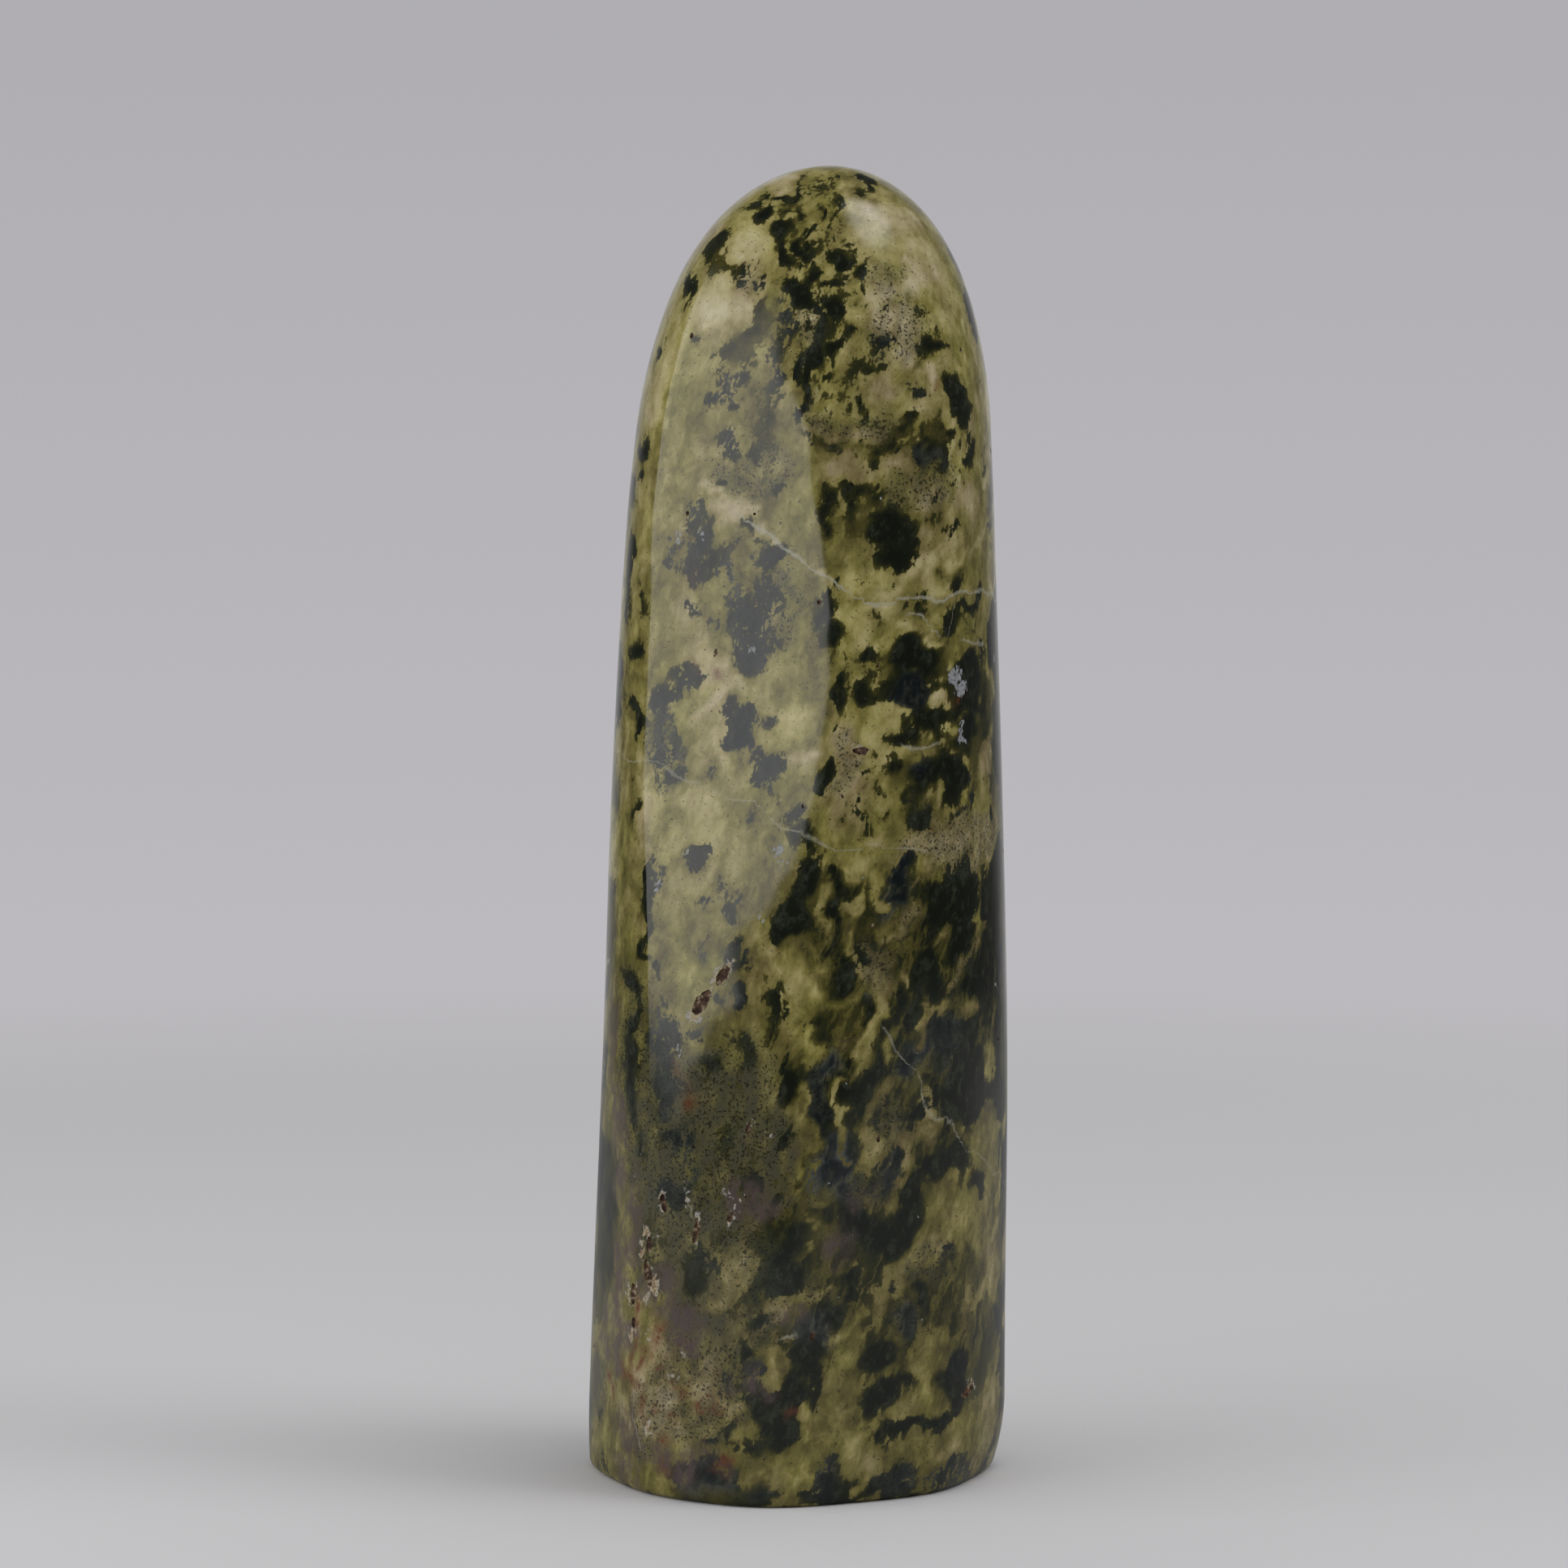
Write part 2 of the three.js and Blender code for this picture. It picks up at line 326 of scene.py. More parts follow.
@dataclass(frozen=True)
class SkinMesh:
    """Fine closed mesh of the stone, and places on it measured round and up, in mm.

    Attributes:
        form: The form that it follows.
        columns: Corners round each ring.
        edge_rows: Rings in the broken edge at the base.
        side_rows: Rings from there to the crown.
        dome_rows: Rings in the crown.
        inside: Share by which the mesh stays within the CAD solid's box.
        round_steps: Places round each ring of the measuring table.
        round_gap: Height between its rings, in mm.
    """

    form: StoneForm = field(default_factory=StoneForm)
    columns: int = 288
    edge_rows: int = 6
    side_rows: int = 188
    dome_rows: int = 66
    inside: float = 0.9991
    round_steps: int = 721
    round_gap: float = 0.5

    def heights(self) -> np.ndarray:
        """Heights of the rings, in mm, from the base to just under the top."""
        form = self.form
        spring = form.height - form.dome_height
        turn = np.linspace(0, math.pi / 2, self.edge_rows, endpoint=False)
        edge = form.edge_radius * (1 - np.cos(turn))
        side = np.linspace(form.edge_radius, spring, self.side_rows, endpoint=False)
        climb = np.linspace(0, math.pi / 2, self.dome_rows, endpoint=False)
        return np.concatenate([edge, side, spring + form.dome_height * np.sin(climb)])

    def build(self) -> bpy.types.Object:
        """Builds the closed mesh, centred on the CAD solid's box.

        Returns:
            The stone as an object, with its place in its mesh.
        """
        heading = np.linspace(0, 2 * math.pi, self.columns, endpoint=False)
        heights = self.heights()
        rings = [self.form.ring(heading, height) for height in heights]
        top = np.array([[*self.form.crown, self.form.height]])
        points = np.concatenate([*rings, top])
        count = self.columns
        faces = [tuple(reversed(range(count)))]
        for row in range(len(heights) - 1):
            low = row * count
            for i in range(count):
                j = (i + 1) % count
                faces.append((low + i, low + j, low + count + j, low + count + i))
        last = (len(heights) - 1) * count
        faces += [(last + i, last + (i + 1) % count, len(points) - 1) for i in range(count)]
        return mesh_object("polished_stone", self.to_frame(points), faces)

    def shift(self) -> np.ndarray:
        """Middle of the form's box at its base, in mm, which the CAD solid has at its origin."""
        heading = np.linspace(0, 2 * math.pi, self.columns, endpoint=False)
        points = np.concatenate([self.form.ring(heading, height) for height in self.heights()[::4]])
        middle = (points.min(axis=0) + points.max(axis=0)) / 2
        return np.array([middle[0], middle[1], 0.0])

    def to_frame(self, points: np.ndarray) -> np.ndarray:
        """Turns places of the form, in mm, into places in the frame, in metres."""
        return (points - self.shift()) * (MM * self.inside)

    def from_frame(self, places: np.ndarray) -> np.ndarray:
        """Turns places in the frame, in metres, into places of the form, in mm."""
        return places / (MM * self.inside) + self.shift()

    @cached_property
    def rounds(self) -> tuple[np.ndarray, np.ndarray]:
        """Rings of the form at even heights, and the distance run round each from its front."""
        heading = np.linspace(-math.pi, math.pi, self.round_steps)
        levels = np.arange(0, self.form.height - 0.1, self.round_gap)
        rings = np.array([self.form.ring(heading, level) for level in levels])
        steps = np.linalg.norm(np.diff(rings, axis=1), axis=2)
        run = np.concatenate([np.zeros((len(rings), 1)), np.cumsum(steps, axis=1)], axis=1)
        return rings, run - run[:, [self.round_steps // 2]]

    def half_girth(self, up: float) -> float:
        """Half the distance round the stone at a height, in mm."""
        return float(np.ptp(self.rounds[1][round(up / self.round_gap)]) / 2)

    def place(self, around: float, up: float) -> np.ndarray:
        """Point of the surface that lies so far round from the front line, at a height, in mm."""
        rings, runs = self.rounds
        level = min(max(up / self.round_gap, 0), len(rings) - 1.001)
        low = int(level)
        ends = []
        for ring, run in zip(rings[low:low + 2], runs[low:low + 2]):
            wrapped = (around - run[0]) % (run[-1] - run[0]) + run[0]
            ends.append([np.interp(wrapped, run, ring[:, axis]) for axis in range(3)])
        share = level - low
        return np.array(ends[0]) * (1 - share) + np.array(ends[1]) * share

    def tangents(self, around: float, up: float) -> tuple[np.ndarray, np.ndarray]:
        """Directions on the surface at a place: to the right, and upwards."""
        step = 0.4
        right = self.place(around + step, up) - self.place(around - step, up)
        top = min(up + step, self.form.height - 0.2)
        rise = self.place(around, top) - self.place(around, up - step)
        right /= np.linalg.norm(right)
        rise -= right * (rise @ right)
        return right, rise / np.linalg.norm(rise)


# ---- Pits ------------------------------------------------------------------------------------


@dataclass(frozen=True)
class Pit:
    """A natural pit that the polish left, in mm on the unrolled surface."""

    around: float
    up: float
    wide: float
    long: float
    deep: float
    lean: float = 0.0


@dataclass(frozen=True)
class PitField:
    """All pits of the stone: a few named ones, and pinholes strewn from a seed.

    Attributes:
        skin: The mesh that they are cut from.
        named: The larger pits.
        pinholes: How many small ones are strewn.
        pinhole_side: How far round they reach to either side, in mm.
        pinhole_heights: Lowest and highest of them, in mm.
        pinhole_width: Narrowest and widest, in mm.
        pinhole_stretch: Least and most times longer than wide.
        pinhole_depth: Depth as a share of the width.
        pinhole_lean: Lean one way and the other, in degrees.
        seed: Seed of the strewing.
        roughness: How far a pit's wall wanders, in mm.
        rough_mm: Size of the bumps in it, in mm.
        lens_detail: Subdivisions of a cutter.
    """

    skin: SkinMesh
    named: tuple[Pit, ...] = (
        Pit(-12.9, 56.6, 1.6, 3.3, 0.45, 32),
        Pit(-10.4, 59.8, 1.1, 2.6, 0.35, 32),
        Pit(-19.3, 25.6, 1.1, 3.2, 0.4, -12),
        Pit(-19.2, 28.9, 1.0, 1.8, 0.35, 5),
        Pit(-21.8, 22.9, 1.3, 2.3, 0.4, 5),
        Pit(-17.2, 33.8, 0.8, 2.2, 0.35, -15),
        Pit(-13.0, 31.0, 0.7, 3.0, 0.3, 5),
        Pit(-7.0, 42.7, 0.7, 1.3, 0.25, 10),
        Pit(-8.9, 32.8, 0.7, 1.3, 0.25, 20),
        Pit(-21.8, 19.6, 0.7, 1.4, 0.3, 10),
        Pit(5.6, 85.3, 1.9, 0.9, 0.3, 0),
        Pit(22.0, 11.6, 1.2, 2.8, 0.35, 65),
    )
    pinholes: int = 46
    pinhole_side: float = 70
    pinhole_heights: tuple[float, float] = (6, 138)
    pinhole_width: tuple[float, float] = (0.28, 0.6)
    pinhole_stretch: tuple[float, float] = (1, 2)
    pinhole_depth: float = 0.4
    pinhole_lean: tuple[float, float] = (-30, 50)
    seed: int = 5
    roughness: float = 0.8
    rough_mm: float = 0.9
    lens_detail: int = 4

    def pits(self) -> list[Pit]:
        """The named pits and the pinholes."""
        rng = np.random.default_rng(self.seed)
        strewn = []
        for _ in range(self.pinholes):
            around = float(rng.uniform(-self.pinhole_side, self.pinhole_side))
            up = float(rng.uniform(*self.pinhole_heights))
            wide = float(rng.uniform(*self.pinhole_width))
            long = wide * float(rng.uniform(*self.pinhole_stretch))
            lean = float(rng.uniform(*self.pinhole_lean))
            strewn.append(Pit(around, up, wide, long, wide * self.pinhole_depth, lean))
        return [*self.named, *strewn]

    def marks(self) -> bpy.types.Object:
        """Makes one loose point for each pit, which holds its size and its turn."""
        pits = self.pits()
        places = np.array([self.skin.to_frame(self.skin.place(p.around, p.up)) for p in pits])
        marks = mesh_object("pit_cutters", places, [])
        size = marks.data.attributes.new("size", "FLOAT_VECTOR", "POINT")
        turn = marks.data.attributes.new("turn", "FLOAT_VECTOR", "POINT")
        for i, pit in enumerate(pits):
            right, rise = self.skin.tangents(pit.around, pit.up)
            out = np.cross(right, rise)
            lean = math.radians(pit.lean)
            long = rise * math.cos(lean) + right * math.sin(lean)
            basis = Matrix(np.stack([np.cross(long, out), long, out], axis=1).tolist())
            size.data[i].vector = Vector((pit.wide, pit.long, 2 * pit.deep)) * (MM / 2)
            turn.data[i].vector = Vector(basis.to_euler())
        return marks

    def cutter_tree(self, finish: bpy.types.Material) -> bpy.types.NodeTree:
        """Node tree that puts one rough lens on each mark."""
        tree = bpy.data.node_groups.new("pit_cutters", "GeometryNodeTree")
        face = tree.interface
        face.new_socket("Marks", in_out="INPUT", socket_type="NodeSocketGeometry")
        rough = face.new_socket("Roughness", in_out="INPUT", socket_type="NodeSocketFloat")
        rough.default_value = self.roughness * MM
        face.new_socket("Seed", in_out="INPUT", socket_type="NodeSocketFloat")
        face.new_socket("Cutters", in_out="OUTPUT", socket_type="NodeSocketGeometry")
        given = tree.nodes.new("NodeGroupInput").outputs
        add = partial(add_node, tree)
        lens = add("GeometryNodeMeshIcoSphere", {"Radius": 1.0, "Subdivisions": self.lens_detail})
        size = add("GeometryNodeInputNamedAttribute", {"Name": "size"}, data_type="FLOAT_VECTOR")
        turn = add("GeometryNodeInputNamedAttribute", {"Name": "turn"}, data_type="FLOAT_VECTOR")
        lenses = add("GeometryNodeInstanceOnPoints", {
            "Points": given["Marks"], "Instance": lens, "Scale": size,
            "Rotation": add("FunctionNodeEulerToRotation", (turn,))})
        real = add("GeometryNodeRealizeInstances", (lenses,))
        noise = add(NOISE, {"W": given["Seed"], "Scale": grain(self.rough_mm), "Detail": 2.0},
                    "Color", noise_dimensions="4D")
        centred = add(VECTOR, (noise, (0.5, 0.5, 0.5)), operation="SUBTRACT")
        wander = add(VECTOR, {0: centred, "Scale": given["Roughness"]}, operation="SCALE")
        shaken = add("GeometryNodeSetPosition", {"Geometry": real, "Offset": wander})
        dressed = add("GeometryNodeSetMaterial", {"Geometry": shaken, "Material": finish})
        add("NodeGroupOutput", (dressed,))
        return tree

    def cut(self, stone: bpy.types.Object, finish: bpy.types.Material) -> None:
        """Cuts every pit out of the stone; the broken rock inside gets its own finish.

        Args:
            stone: The stone's fine mesh, with its own finish in its first slot.
            finish: Finish of the rock inside a pit.
        """
        marks = self.marks()
        maker = marks.modifiers.new("cutters", "NODES")
        maker.node_group = self.cutter_tree(finish)
        sockets = {s.name: s.identifier for s in maker.node_group.interface.items_tree
                   if s.in_out == "INPUT"}
        maker[sockets["Roughness"]] = self.roughness * MM
        maker[sockets["Seed"]] = float(self.seed)
        bake_modifiers(marks)
        knife = stone.modifiers.new("pits", "BOOLEAN")
        knife.operation = "DIFFERENCE"
        knife.solver = "MANIFOLD"
        knife.material_mode = "TRANSFER"
        knife.object = marks
        bake_modifiers(stone)
        bpy.data.objects.remove(marks)


# ---- Markings --------------------------------------------------------------------------------


class Field(Enum):
    """Numbers that the markings give each point of the skin, read by the finish."""

    DARK = "dark"  # mm into a dark marking; below nothing in the light stone
    BRIGHT = "bright"  # yellow, opaque light stone
    WARM = "warm"  # yellow, opaque light stone, and painted light at the crown and painted shade towards the foot
    PEPPER = "pepper"  # fine dark grains
    FLECK = "fleck"  # fine silver flakes
    RUST = "rust"  # red-brown stain
    VIOLET = "violet"  # violet-brown stain
    BLUE = "blue"  # blue-grey cast in a dark marking
    CREAM = "cream"  # cream rather than silver crystals
    NET = "net"  # light strands between dark lenses
    UMBER = "umber"  # dim and brown light stone
    DIM = "dim"  # light stone that lies deep under the clear green
    CHIP = "chip"  # mm into a pale crystal


@dataclass(frozen=True)
class Effect:
    """What one kind of marking does where it lies.

    Attributes:
        cap: Deepest value that it gives the dark field; below nothing it lightens, 0 leaves it.
        tints: Strength that it gives the other fields.
        soft: For a zone that blends the dark field to its cap, the width of the blend in mm.
        clears: Fields that it takes most of away.
    """

    cap: float = 0.0
    tints: tuple[tuple[Field, float], ...] = ()
    soft: float = 0.0
    clears: tuple[Field, ...] = ()


class Kind(Enum):
    """Kinds of marking in the stone."""

    PALE = Effect(-1.15, ((Field.BRIGHT, 0.3),), soft=2.0)
    SHADE = Effect(-0.15, soft=2.0)
    UMBER = Effect(-0.3, ((Field.UMBER, 1.0), (Field.PEPPER, 0.6)), soft=2.0)
    DUSK = Effect(0.0, ((Field.DIM, 0.55),), soft=2.0)
    NIGHT = Effect(0.2, ((Field.DIM, 1.0),), soft=2.0)
    HONEY = Effect(-0.05, soft=0.5)
    BLACK = Effect(1.5)
    INK = Effect(1.5, ((Field.BLUE, 1.0),))
    SLATE = Effect(0.15, ((Field.BLUE, 0.9), (Field.PEPPER, 0.4)))
    MOSS = Effect(0.3)
    OLIVE = Effect(-1.2, clears=(Field.BRIGHT, Field.DIM))
    YELLOW = Effect(-1.6, ((Field.BRIGHT, 1.0),), clears=(Field.UMBER, Field.DIM))
    GOLD = Effect(-1.4, ((Field.BRIGHT, 0.5), (Field.WARM, 0.45)), clears=(Field.UMBER, Field.DIM))
    CREAM = Effect(-1.6, ((Field.BRIGHT, 0.9), (Field.WARM, 0.7)), clears=(Field.UMBER, Field.DIM))
    TAN = Effect(-1.2, ((Field.WARM, 0.8),), clears=(Field.UMBER, Field.DIM))
    NET = Effect(0.0, ((Field.NET, 1.0),))
    PEPPER = Effect(0.0, ((Field.PEPPER, 1.0),))
    FLECK = Effect(0.0, ((Field.FLECK, 1.0),))
    RUST = Effect(0.0, ((Field.RUST, 1.4),))
    VIOLET = Effect(0.0, ((Field.VIOLET, 1.0),))
    CHIP = Effect(0.0, ((Field.CHIP, 1.0),))
    CRYSTAL = Effect(0.0, ((Field.CHIP, 1.0), (Field.CREAM, 1.8)))


@dataclass(frozen=True)
class Band:
    """A long marking that follows a line over the skin.

    Attributes:
        kind: Kind of marking.
        width: Its width in mm.
        path: Places that it runs through, each a distance round and a height in mm.
    """

    kind: Kind
    width: float
    path: tuple[tuple[float, float], ...]


PatchRow = tuple[float, ...]  # around, up, wide and tall in mm, then its lean to the right, if any

# The markings of the front, laid in this order, so that a later one covers an earlier one. Each
# was read off one by one. Most readings were then turned into mm by a program and rounded to 0.1.

CROWN = (
    (Kind.PALE, ((-20, 132, 12, 20), (-10, 144.5, 10, 5), (-23.5, 106, 5, 22))),
    (Kind.GOLD, ((-20, 127, 6, 12), (-11, 136, 9, 12))),
    (Kind.OLIVE, ((-13, 131, 6, 8, 20),)),
    (Kind.DUSK, ((-7, 122, 5, 10), (-8, 131.5, 4.5, 8, 10), (-12.5, 137, 6, 8))),
    (Kind.CREAM, ((-5, 148.5, 5, 1.5),)),
    (Kind.SLATE, ((-8.3, 137.5, 3, 3), (-10.5, 125.5, 2.5, 2.5), (-12, 124, 4, 2),
        (-12.2, 128.3, 1.5, 0.9))),
    (Kind.BLACK, ((3.5, 147.5, 2, 1),)),
    (Kind.MOSS, ((-14, 140.8, 4, 1.4, 40), (-21.5, 129.7, 2.6, 1))),
    (Kind.SHADE, ((-1.7, 142.1, 5.6, 14.3), (0.9, 135, 6.4, 9.8), (-0.7, 129.6, 3.7, 8.9))),
    (Kind.PALE, ((8.6, 141.2, 8.1, 9.8), (8.8, 132.4, 8.9, 8.9), (13.1, 136.7, 10.1, 10.7),
        (5.3, 139.5, 5.6, 5.4))),
    (Kind.GOLD, ((-5, 147.8, 3.6, 2.3), (8.2, 144.6, 8.9, 3.6, 30), (12, 139.4, 6.1, 5.3, 20))),
    (Kind.YELLOW, ((0.6, 147.5, 1.5, 1.6), (-8.8, 141.2, 4.9, 5.4), (3.7, 133.6, 3.1, 1.9),
        (-12.9, 135.6, 5.4, 5.4), (-14, 132.4, 4.3, 1.1), (2.8, 145.9, 2.8, 1.3))),
    (Kind.OLIVE, ((-0.4, 139, 1.8, 2.1), (13.8, 135.4, 3.6, 5.3, 10), (1.3, 136.8, 3.7, 1.2),
        (-4.6, 138.5, 2.3, 2.3), (-4.7, 135, 2.8, 2.2), (5.7, 130.1, 3.7, 3.6), (0.7, 128.8, 1.9, 2.7))),
    (Kind.TAN, ((7.7, 137.2, 4.8, 3.6), (7.4, 133.2, 5.6, 3.9), (9.3, 131.9, 3.9, 5.4),
        (-3.2, 144.6, 1.9, 0.7, 10), (9.9, 128.8, 4.9, 3.2))),
    (Kind.CREAM, ((5.6, 134.9, 2.8, 3), (6.4, 133.7, 2.2, 2.7), (-5.7, 146.8, 2.1, 1.3))),
    (Kind.HONEY, ((0.5, 143.9, 1.1, 5.4), (5.5, 127.2, 5.5, 3.9), (1.8, 126.1, 4.6, 2.7),
        (4.8, 132.2, 1.1, 2.3, 30), (13.6, 132.7, 3.2, 3.6), (16, 129.3, 2.3, 1.4))),
    (Kind.SLATE, ((7.6, 131.1, 2.2, 2.2), (7.8, 134.8, 2.5, 0.8), (-7.9, 137.3, 3.3, 2.5),
        (-4.5, 131.6, 2.5, 5.4, 5), (4.7, 138.1, 1.3, 2.7, -15), (-5.8, 127.8, 2.3, 3.6, 10))),
    (Kind.BLACK, ((0.1, 148.4, 0.8, 0.6), (3.6, 147.4, 1.9, 0.5, -40), (3.6, 148.3, 1.8, 0.7, -30),
        (-7.7, 146.2, 2.4, 1.3), (-9.9, 145.1, 2.2, 1.4), (-7.8, 144.3, 1.5, 1.3), (-4.9, 145.8, 4.2, 0.8),
        (-2.8, 146.4, 1.3, 1.1), (-3.2, 144.1, 1.9, 2.2), (-5.2, 144.5, 0.9, 0.8), (-4.9, 142.1, 3, 2.3),
        (-4.8, 140.8, 1.7, 2.5), (0, 144.6, 0.6, 3), (-1.6, 143.9, 0.8, 4.5), (-1.5, 139.6, 0.9, 4),
        (-3.3, 139.6, 0.9, 1.4, 30), (1.4, 140.1, 2.3, 2.1), (0.6, 137.6, 2.4, 1.1),
        (-2.3, 137.8, 2.1, 2.1), (-2.3, 135.2, 3.4, 3.9), (-1.7, 132.3, 1.2, 3.6), (-1.4, 129.2, 1.1, 3.6),
        (3.8, 138.5, 2.2, 1.1, -20), (4.5, 136.2, 1.2, 1.4), (3.9, 135, 1.7, 0.5), (1.2, 134.2, 2.8, 2.9),
        (1.2, 129.8, 2.6, 3), (2.5, 131, 2.2, 2.1, 20), (0.8, 127.8, 1.7, 1.3), (11.8, 133.4, 1.8, 0.8, 20),
        (14.6, 132.5, 0.9, 0.7), (13.4, 129.8, 4.1, 2.1), (13.1, 128.6, 2.3, 1), (16, 129.4, 1.5, 0.8),
        (-2.9, 131.6, 0.9, 1.9), (17.2, 125.8, 2.9, 1.8), (-15, 141.7, 3.2, 0.8),
        (-15.1, 140.8, 4.8, 0.7, 10), (-16.9, 137.1, 1.4, 3), (-20.9, 129.6, 2.8, 1.2))),
    Band(Kind.CREAM, 0.8, ((9.7, 140.8), (10.5, 137.2), (11.2, 133.6), (11.3, 130.1))),
    Band(Kind.CREAM, 0.5, ((-0.7, 136.1), (1.2, 136.6), (3.2, 136.9), (4.2, 137.3))),
    Band(Kind.CREAM, 0.5, ((-10.4, 135), (-7.6, 135.7), (-5.7, 136.6), (-4.3, 136.8))),
    (Kind.MOSS, ((3.9, 127.4, 1.5, 0.8), (6.1, 130.1, 0.9, 1.1), (5.8, 126.5, 2.2, 1.9),
        (0.8, 145.7, 0.8, 0.9), (-17.6, 134.7, 1.7, 2.3), (-2.4, 148.2, 0.9, 3))),
    (Kind.CREAM, ((-3, 132.8, 1.1, 1.4), (-3.3, 131, 0.6, 0.9), (14, 125.6, 2.4, 0.8),
        (11.8, 127.2, 1.7, 1.1))),
    (Kind.PEPPER, ((8.8, 132.4, 7.9, 9.8), (-2.6, 130.5, 3.2, 7.1), (6.7, 138.6, 5.7, 4.4))),
    (Kind.RUST, ((14.3, 125.5, 1.7, 0.6, -10),)),
    Band(Kind.BLACK, 1.2, ((-2.9, 143.6), (-2.3, 137.7), (-1.7, 133.1), (-2.3, 129), (-2.1, 123.3))),
    Band(Kind.BLACK, 0.7, ((0.2, 115.6), (1.1, 111), (1.8, 105.9), (1.8, 99.1))),
    Band(Kind.CREAM, 1.4, ((8.4, 141.8), (10.1, 137.7), (10.4, 134.1), (8.7, 131), (11.6, 127.7),
        (15.4, 125.8))),
    Band(Kind.GOLD, 1.6, ((-25.1, 130.2), (-24.5, 125.5), (-21.5, 121.5), (-17.7, 118.9))),
)

